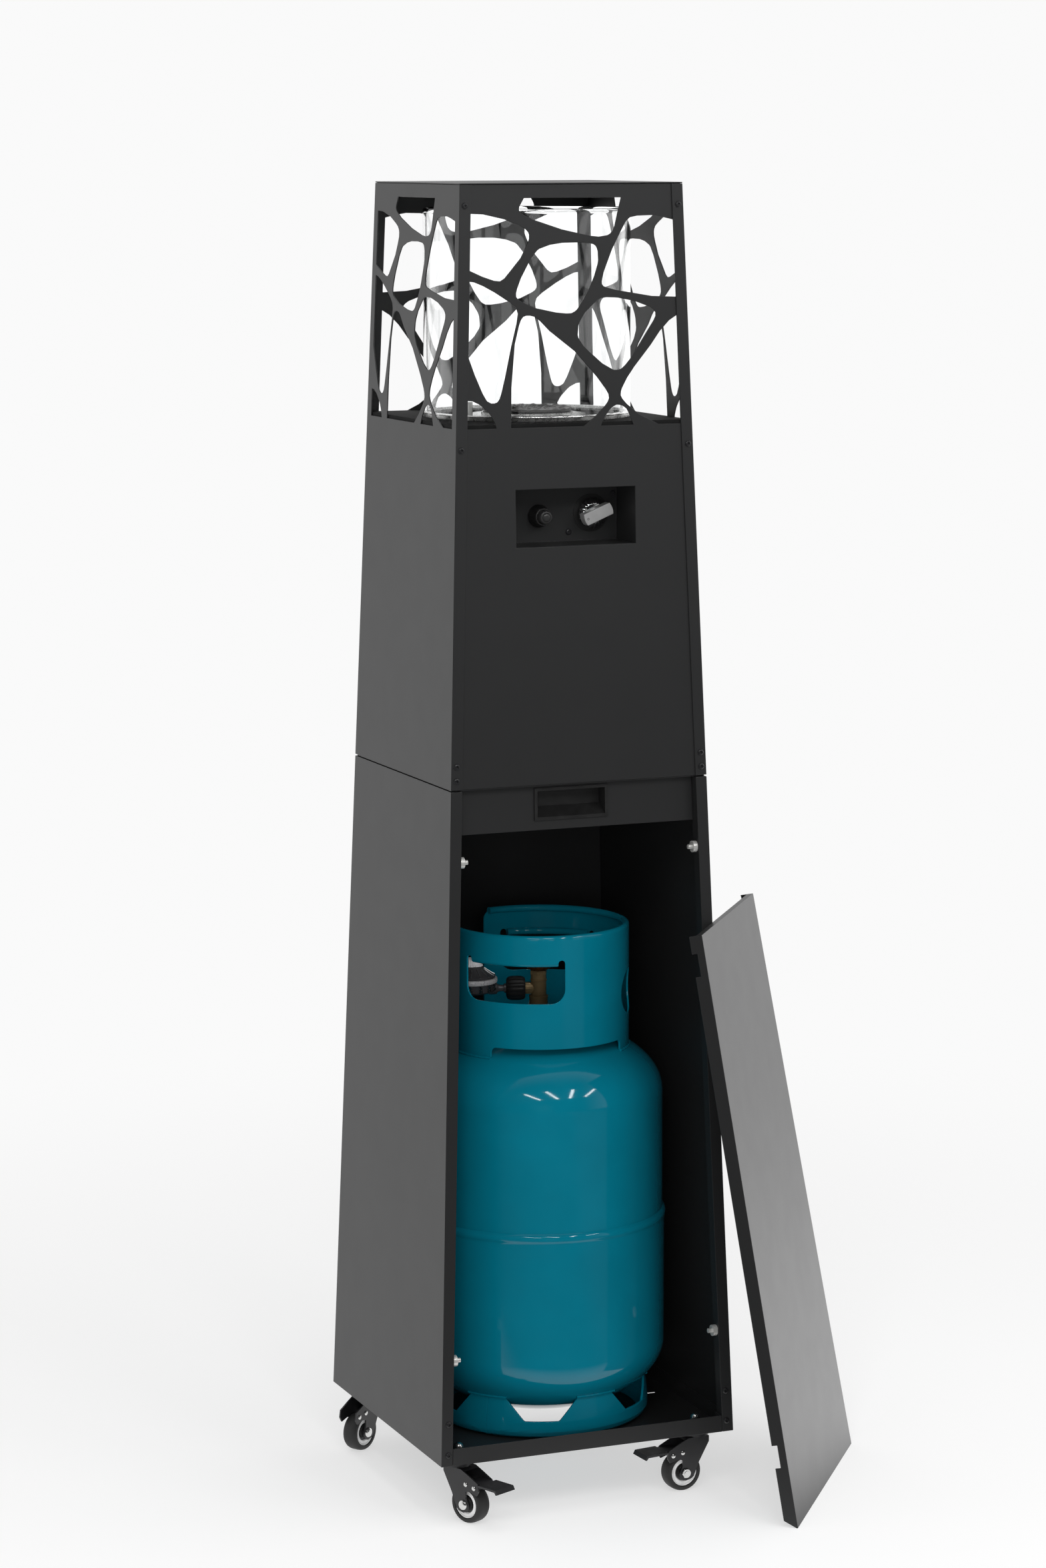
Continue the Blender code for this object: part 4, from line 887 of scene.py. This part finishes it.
def lower_profile(lower):
    """Rounded floor and wall up to the bead, from the middle outwards."""
    profile = []
    for step in range(floor_steps, -1, -1):
        angle = floor_reach * step / floor_steps
        profile.append((lower * cos(angle), floor_level - floor_drop * sin(angle)))
    for height in (floor_level + bead_edge, bead_low - 2 * bead_edge, bead_low - bead_edge):
        profile.append((lower, height))
    bead_rise = bead_high - bead_low + 2 * bead_spread
    for step in range(bead_steps + 1):
        out = lower + bead_proud * sin(pi * step / bead_steps)
        profile.append((out, bead_low - bead_spread + bead_rise * step / bead_steps))
    return profile


def upper_profile(upper, neck_top):
    """Wall over the bead, rounded shoulder, and the neck with its weld."""
    profile = []
    for height in (bead_high + bead_edge, bead_high + 2 * bead_edge, shoulder_level - bead_edge):
        profile.append((upper, height))
    neck_angle = acos(neck_radius / upper)
    for step in range(shoulder_steps + 1):
        angle = neck_angle * shoulder_reach * step / shoulder_steps
        profile.append((upper * cos(angle), shoulder_level + shoulder_rise * sin(angle)))
    neck_low = shoulder_level + shoulder_rise * sin(neck_angle)
    for out, rise in neck_weld:
        profile.append((neck_radius + out, neck_low + rise))
    return profile + [
        (neck_radius, neck_top - neck_round), (neck_radius - neck_round, neck_top),
        (neck_bore, neck_top), (neck_bore, neck_top - neck_depth),
    ]


def fine_bottle():
    """The same bottle with rounder floor, shoulder and bead, and a weld round its neck."""
    lower, upper = bottle_radii()
    neck_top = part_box("bottle_body")[1].z - bottle_centre().z
    profile = lower_profile(lower) + upper_profile(upper, neck_top)
    body = lathe("bottle_shell", profile, "bottle", "bottle_paint", bottle_centre(), steps=bottle_steps)
    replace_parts(body, "bottle_body")


def arc(centre, radius, start, end, steps=6):
    """Points of an arc in the flat sheet, its angles in degrees."""
    points = []
    for step in range(steps + 1):
        angle = radians(start + (end - start) * step / steps)
        points.append((centre[0] + radius * cos(angle), centre[1] + radius * sin(angle)))
    return points


def along_collar(angle):
    return radians(angle) * collar_radius


def hand_hole(span, low, high):
    """Hand hole in the flat sheet: round lower corners and a small round hook up at each top corner."""
    left, right = (along_collar(edge) for edge in span)
    half = hook_width / 2
    hook_centre = high + hook_rise - half
    return [
        *arc((left + hole_corner, low + hole_corner), hole_corner, 180, 270),
        *arc((right - hole_corner, low + hole_corner), hole_corner, 270, 360),
        *arc((right - half, hook_centre), half, 0, 180),
        *arc((left + half, hook_centre), half, 0, 180),
    ]


def collar_outline():
    """Outer edge of the flat sheet, with the long slits over the bottle's shoulder."""
    first, last = (along_collar(edge) for edge in collar_span)
    top = collar_top - collar_roll
    points = [(first, collar_foot)]
    for span in collar_slits:
        left, right = (along_collar(edge) for edge in span)
        middle = collar_slit_top - collar_slit_round
        points.append((left, collar_foot))
        points += arc((left + collar_slit_round, middle), collar_slit_round, 180, 90)
        points += arc((right - collar_slit_round, middle), collar_slit_round, 90, 0)
        points.append((right, collar_foot))
    points.append((last, collar_foot))
    points += arc((last - collar_corner, top - collar_corner), collar_corner, 0, 90)
    points += arc((first + collar_corner, top - collar_corner), collar_corner, 90, 180)
    return points


def flat_sheet(outlines, wall):
    """Mesh of a flat sheet with holes and rounded edges."""
    data = bpy.data.curves.new("flat_sheet", "CURVE")
    data.dimensions = "2D"
    data.fill_mode = "BOTH"
    data.extrude = wall / 2 - sheet_edge
    data.bevel_depth = sheet_edge
    data.bevel_resolution = 1
    data.offset = -sheet_edge
    for outline in outlines:
        spline = data.splines.new("POLY")
        spline.points.add(len(outline) - 1)
        spline.use_cyclic_u = True
        for point, (across, up) in zip(spline.points, outline):
            point.co = (across, up, 0, 1)
    item = link_object("flat_sheet", data)
    bpy.context.view_layer.update()
    mesh = bpy.data.meshes.new_from_object(item.evaluated_get(bpy.context.evaluated_depsgraph_get()))
    bpy.data.objects.remove(item, do_unlink=True)
    return mesh


def slice_sheet(shell, outline, step, levels):
    """Cuts a flat sheet into narrow strips, and across at the levels, so that it can bend."""
    first = min(across for across, _ in outline)
    last = max(across for across, _ in outline)
    cuts = [((first + step * index, 0, 0), (1, 0, 0)) for index in range(1, round((last - first) / step))]
    cuts += [((0, level, 0), (0, 1, 0)) for level in levels]
    for place, facing_to in cuts:
        everything = [*shell.verts, *shell.edges, *shell.faces]
        bmesh.ops.bisect_plane(shell, geom=everything, plane_co=place, plane_no=facing_to)


def bend_sheet(shell, radius, share_at):
    """Bends the strips round the upright axis; the radius may change with height."""
    for vert in shell.verts:
        turn = vert.co.x / radius
        out = radius * (share_at(vert.co.y) if share_at else 1) + vert.co.z
        vert.co = (out * cos(turn), out * sin(turn), vert.co.y)
    bmesh.ops.recalc_face_normals(shell, faces=shell.faces)


def bent_sheet(name, outlines, wall, radius, share_at=None, levels=()):
    """Painted sheet of the gas bottle, drawn flat and bent round the bottle's axis."""
    mesh = flat_sheet(outlines, wall)
    shell = bmesh.new()
    shell.from_mesh(mesh)
    bmesh.ops.remove_doubles(shell, verts=shell.verts, dist=weld_distance)
    slice_sheet(shell, outlines[0], sheet_slice * radius, levels)
    bend_sheet(shell, radius, share_at)
    shell.to_mesh(mesh)
    shell.free()
    mesh.name = name
    mesh.shade_smooth()
    item = link_object(name, mesh)
    item.location = bottle_centre()
    finish_piece(item, None, "bottle", "bottle_paint")
    weigh_normals(item)
    return item


def fine_collar():
    """Collar with hand holes front and back, a round hole at the right and long slits below."""
    middle, height = round_hole_place
    wide, tall = round_hole_half
    round_hole = []
    for x, y in arc((0, 0), 1, 0, 360, round_hole_steps)[:-1]:
        round_hole.append((along_collar(middle) + x * wide, height + y * tall))
    outlines = [collar_outline(), hand_hole(*front_hole), hand_hole(*back_hole), round_hole]
    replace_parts(bent_sheet("collar_sheet", outlines, collar_wall, collar_radius), "bottle_collar")


def ring_share(height):
    """Foot ring's radius at a height, as a share of its radius where it stands."""
    for (low, low_share), (high, high_share) in zip(ring_shares, ring_shares[1:]):
        if height <= high:
            return low_share + (high_share - low_share) * max(0, (height - low) / (high - low))
    return ring_shares[-1][1]


def along_ring(angle):
    return radians(angle) * ring_radius


def ring_outline():
    """Outer edge of the foot ring's flat sheet, with open notches along its top."""
    start = ring_first_notch - 180 / ring_notches
    low = along_ring(notch_low_half)
    high = along_ring(notch_high_half)
    middle = notch_floor + notch_round
    points = [(along_ring(start), 0), (along_ring(start + 360), 0), (along_ring(start + 360), ring_top)]
    for index in reversed(range(ring_notches)):
        centre = along_ring(ring_first_notch + 360 / ring_notches * index)
        points.append((centre + high, ring_top))
        points += arc((centre + low - notch_round, middle), notch_round, -30, -90, notch_steps)
        points += arc((centre - low + notch_round, middle), notch_round, -90, -150, notch_steps)
        points.append((centre - high, ring_top))
    points.append((along_ring(start), ring_top))
    return points


def fine_ring():
    """Foot ring curled in at its foot, with open notches round its top."""
    levels = [height for height, _ in ring_shares[1:-1]]
    ring = bent_sheet("foot_ring", [ring_outline()], ring_wall, ring_radius, ring_share, levels)
    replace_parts(ring, "bottle_foot_ring")


def collar_beads():
    """Rim of the collar and upper edges of its hand holes, curled inward."""
    first, last = collar_span
    inset = degrees(collar_corner / 2 / collar_radius)
    radius = collar_radius + collar_wall / 2 - collar_roll_inset
    rim = arc_path(radius, (first + inset, last - inset), collar_top - collar_roll)
    bead("collar_rim", rim, collar_roll, "bottle", "bottle_paint", steps=rim_steps)
    reach = degrees(hook_width / collar_radius)
    for name, (span, _, high) in (("front", front_hole), ("back", back_hole)):
        start, end = span
        path = arc_path(radius, (start + reach, end - reach), high + collar_roll)
        bead(f"collar_grip_{name}", path, collar_roll, "bottle", "bottle_paint", steps=rim_steps)


def weld(name, radius, span, height):
    path = arc_path(radius, span, height, weld_pace)
    bead(name, path, weld_size, "bottle", "bottle_paint", lumps=weld_lumps)


def bottle_welds():
    """Welds under the collar's feet and over the foot ring."""
    foot_height = shoulder_height(foot_weld_radius) + weld_size / 3
    for index, span in enumerate(collar_feet):
        weld(f"collar_weld_{index}", foot_weld_radius, span, foot_height)
    ring_height = floor_height(ring_weld_radius) - weld_size / 3
    for index in range(ring_notches):
        middle = ring_first_notch + 360 / ring_notches * (index + 0.5)
        span = (middle - ring_solid_half, middle + ring_solid_half)
        weld(f"ring_weld_{index}", ring_weld_radius, span, ring_height)


# Valve and regulator

wheel_profile = (
    (0.005, 0.0), (0.0132, 0.0), (0.0148, 0.0008), (0.0155, 0.0024), (0.0155, 0.0066), (0.0148, 0.0082),
    (0.0132, 0.009), (0.0082, 0.009), (0.0074, 0.0078), (0.005, 0.0078),
)
wheel_lobes = 12
wheel_lobe_share = 0.07
grip_nut_profile = (
    (0.0094, 0.002), (0.0102, 0.0), (0.0122, 0.0), (0.0142, 0.0016), (0.0152, 0.0044),
    (0.0156, 0.008), (0.0156, 0.017), (0.0151, 0.0202), (0.0137, 0.0228), (0.0112, 0.0242),
    (0.0067, 0.0244), (0.0067, 0.0112), (0.0094, 0.0112),
)
grip_nut_start = 0.0172
outlet_nut_profile = ((0.007, 0.01), (0.0081, 0.0104, 6), (0.0081, 0.0186, 6), (0.007, 0.0192))
grip_nut_lobes = 14
valve_rings = {
    "valve_flange": ((0.0098, 0.0225), (0.0124, 0.023), (0.0124, 0.0248), (0.0098, 0.0256)),
    "valve_band": ((0.0098, 0.044), (0.0108, 0.0444), (0.0108, 0.0458), (0.0098, 0.0462)),
    "valve_bonnet": ((0.0098, 0.052, 6), (0.0112, 0.0526, 6), (0.0112, 0.0574, 6), (0.01, 0.058)),
}
regulator_place = 0.0845
regulator_profile = (
    (0.019, -0.006), (0.0215, -0.0052), (0.0258, -0.0036), (0.0272, -0.002), (0.0275, 0.006),
    (0.029, 0.0082), (0.029, 0.0152), (0.0278, 0.0156), (0.0278, 0.0166), (0.0292, 0.017),
    (0.0294, 0.0178), (0.0288, 0.0184), (0.0262, 0.0192), (0.02, 0.0232), (0.015, 0.0268),
    (0.0138, 0.0282), (0.0138, 0.03),
)
band_profile = (
    (0.0285, 0.0083), (0.0308, 0.0084), (0.0317, 0.0092), (0.032, 0.0106), (0.032, 0.013),
    (0.0316, 0.0143), (0.0306, 0.015), (0.0285, 0.0151),
)
dial_profile = (
    (0.0128, 0.0296), (0.0134, 0.03), (0.013, 0.0312), (0.0108, 0.0322), (0.0103, 0.033),
    (0.0103, 0.0378), (0.0098, 0.0388), (0.0084, 0.0392), (0.0026, 0.0394),
)
rib_count = 14
rib_path = ((0.015, 0.0266), (0.02, 0.023), (0.025, 0.0198), (0.0284, 0.0182))
rib_size = 0.0009
bolt_circle = 0.0288
bolt_rise = -0.0016
bolt_profile = ((0.0018, 0.0), (0.0024, 0.0004), (0.0024, 0.0042), (0.0019, 0.0046), (0.0019, 0.01))
regulator_neck_profile = (
    (0.006, 0.0282), (0.006, 0.044), (0.0042, 0.0446), (0.0042, 0.05), (0.0052, 0.052),
    (0.0078, 0.0545), (0.0078, 0.064),
)
barb_profile = (
    (0.008, 0.024), (0.008, 0.0335), (0.0052, 0.034), (0.0062, 0.035), (0.0053, 0.0385),
    (0.0062, 0.0395), (0.0053, 0.043), (0.0062, 0.044), (0.005, 0.048),
)
grip_nut_lobe_share = 0.06
cap_lobes = 24
cap_lobe_share = 0.05
nut_steps = 36
case_steps = 96
barb_steps = 24
rib_steps = 6
bolt_steps = 12
outlet_way = Vector((cos(outlet_angle), sin(outlet_angle), 0))


def above_neck(rise):
    """A point over the middle of the bottle's neck."""
    base = bottle_centre()
    return Vector((base.x, base.y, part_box("bottle_body")[1].z + rise))


def along_outlet(out):
    """A point on the axis of the valve's outlet."""
    return above_neck(outlet_above_neck) + outlet_way * out


def valve_pieces():
    """Hand wheel, rings and bonnet of the valve, the nut on its outlet and the grip nut."""
    place = above_neck(0)
    place.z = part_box("valve_handwheel")[0].z
    options = flutes(wheel_lobes, wheel_lobe_share)
    options["look"] = wheel_look
    wheel = lathe("valve_wheel", wheel_profile, "handwheel", "brass", place, loop=True, **options)
    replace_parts(wheel, "valve_handwheel")
    for name, profile in valve_rings.items():
        lathe(name, profile, "bottle", "brass", above_neck(0), steps=nut_steps)
    lathe("outlet_nut", outlet_nut_profile, "bottle", "brass", along_outlet(0), outlet_way, nut_steps)
    place = along_outlet(grip_nut_start)
    options = {"loop": True, **flutes(grip_nut_lobes, grip_nut_lobe_share)}
    nut = lathe("grip_nut", grip_nut_profile, "nut", "black_plastic", place, outlet_way, **options)
    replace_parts(nut, "hand_nut")


def regulator_rib(index, centre, out):
    """Rib and screw at one place round the regulator's casing; the pale rib paints a highlight line."""
    path = [centre + out * radius + Vector((0, 0, rise)) for radius, rise in rib_path]
    # painted highlight: the rib takes the pale cast aluminium, a bright line on the dark casing
    bead(f"regulator_rib_{index}", path, rib_size, "bottle", "aluminium", steps=rib_steps)
    place = centre + out * bolt_circle + Vector((0, 0, bolt_rise))
    options = {"steps": bolt_steps, "look": bolt_look}
    lathe(f"regulator_bolt_{index}", bolt_profile, "bottle", "zinc", place, **options)


def regulator_pieces():
    """Regulator casing and neck in painted shade, a band and ribs of painted highlight, the cap, the barb
    and screws all round.
    """
    centre = along_outlet(regulator_place)
    # painted shade: the casing and its neck take the darkened casting look
    options = {"steps": case_steps, "look": regulator_shade_look}
    body = lathe("regulator_body", regulator_profile, "bottle", "aluminium", centre, **options)
    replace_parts(body, "regulator")
    options = {"along": outlet_way, "look": regulator_shade_look}
    lathe("regulator_neck", regulator_neck_profile, "bottle", "aluminium", along_outlet(0), **options)
    # painted highlight: the band takes a paler look than the dark casting
    options = {"steps": case_steps, "loop": True, "look": band_highlight_look}
    lathe("regulator_band", band_profile, "bottle", "aluminium", centre, **options)
    options = flutes(cap_lobes, cap_lobe_share, 4)
    lathe("regulator_cap", dial_profile, "bottle", "aluminium", centre, look=cap_look, **options)
    for index in range(rib_count):
        angle = 2 * pi * (index + 0.5) / rib_count
        regulator_rib(index, centre, Vector((cos(angle), sin(angle), 0)))
    lathe("regulator_barb", barb_profile, "bottle", "aluminium", centre, outlet_way, barb_steps)


# Castors

castor_words = ("fl", "fr", "bl", "br")
tyre_half = (
    (0.0181, 0.0096), (0.019, 0.0103), (0.0218, 0.0103), (0.023, 0.0098), (0.024, 0.0084),
    (0.0247, 0.0062), (0.025, 0.0036), (0.025, 0.0012),
)
wheel_ring_half = (
    (0.0112, 0.005), (0.0116, 0.0072), (0.0124, 0.008), (0.0132, 0.0081), (0.014, 0.0076),
    (0.016, 0.0078), (0.0168, 0.0088), (0.0178, 0.009), (0.018, 0.006),
)
hub_half = (
    (0.0044, 0.0084), (0.008, 0.0084), (0.0086, 0.0078), (0.009, 0.006), (0.0118, 0.0056),
    (0.0118, 0.003),
)
axle_profile = (
    (0.0012, -0.0175), (0.0036, -0.0172), (0.0054, -0.0164), (0.0063, -0.0152), (0.0065, -0.0141),
    (0.004, -0.0141), (0.004, 0.0141), (0.006, 0.0141, 6), (0.0065, 0.0145, 6), (0.0065, 0.0162, 6),
    (0.0056, 0.0168), (0.0036, 0.0168), (0.0034, 0.0175), (0.0026, 0.0175),
)
rivet_profile = ((0.0031, 0.0), (0.0031, 0.0004), (0.0027, 0.001), (0.0018, 0.0014), (0.0007, 0.0016))
rivet_places = ((0.0393, 0.0501), (0.0254, 0.0524))
cheek_outer = 0.0138
hex_side = {"fl": 1, "fr": 1, "bl": -1, "br": -1}
tyre_steps = 72
wheel_ring_steps = 64
hub_steps = 48
axle_steps = 36
rivet_steps = 20


def mirrored(half):
    return [*half, *((radius, -along) for radius, along in reversed(half))]


def castor_wheel(word, hub, across):
    """Rounded tyre, wheel ring and hub of one castor."""
    wheel = f"wheel_{word}"
    tyre = lathe(f"tyre_{word}", mirrored(tyre_half), wheel, "rubber", hub, across, tyre_steps, loop=True)
    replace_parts(tyre, f"castor_tyre_{word}")
    options = {"steps": wheel_ring_steps, "loop": True, "look": wheel_ring_look}
    profile = mirrored(wheel_ring_half)
    ring = lathe(f"wheel_ring_{word}", profile, wheel, "satin_steel", hub, across, **options)
    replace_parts(ring, f"castor_rim_{word}")
    lathe(f"wheel_hub_{word}", mirrored(hub_half), wheel, "black_plastic", hub, across, hub_steps, loop=True)


def fork_rivets(word, pivot, along, across):
    """Rivets on both cheeks of a castor's fork."""
    for side, side_word in ((-1, "right"), (1, "left")):
        for index, (out, height) in enumerate(rivet_places):
            place = Vector((pivot.x, pivot.y, 0)) + along * out + across * side * cheek_outer
            place.z = height
            options = {"steps": rivet_steps, "look": bolt_look}
            name = f"rivet_{word}_{side_word}_{index}"
            lathe(name, rivet_profile, f"fork_{word}", "zinc", place, across * side, **options)


def castor_pieces():
    """Wheel, axle and rivets of each castor."""
    for word in castor_words:
        pivot = middle_of(f"castor_head_{word}")
        hub = middle_of(f"castor_rim_{word}")
        along = Vector((hub.x - pivot.x, hub.y - pivot.y, 0)).normalized()
        across = Vector((-along.y, along.x, 0))
        castor_wheel(word, hub, across)
        hex_way = across * hex_side[word]
        options = {"steps": axle_steps, "look": bolt_look}
        axle = lathe(f"axle_{word}", axle_profile, f"fork_{word}", "zinc", hub, hex_way, **options)
        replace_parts(axle, f"castor_axle_{word}")
        fork_rivets(word, pivot, along, across)


make_camera()
make_floor()
make_world()
make_lamps()
dress_nodes()
screws()
lid_nuts()
stem_nuts()
control_pieces()
burner_mat()
gallery_bead()
fine_glass()
fine_bottle()
fine_collar()
fine_ring()
collar_beads()
bottle_welds()
valve_pieces()
regulator_pieces()
castor_pieces()
bpy.context.scene.view_settings.view_transform = "Standard"
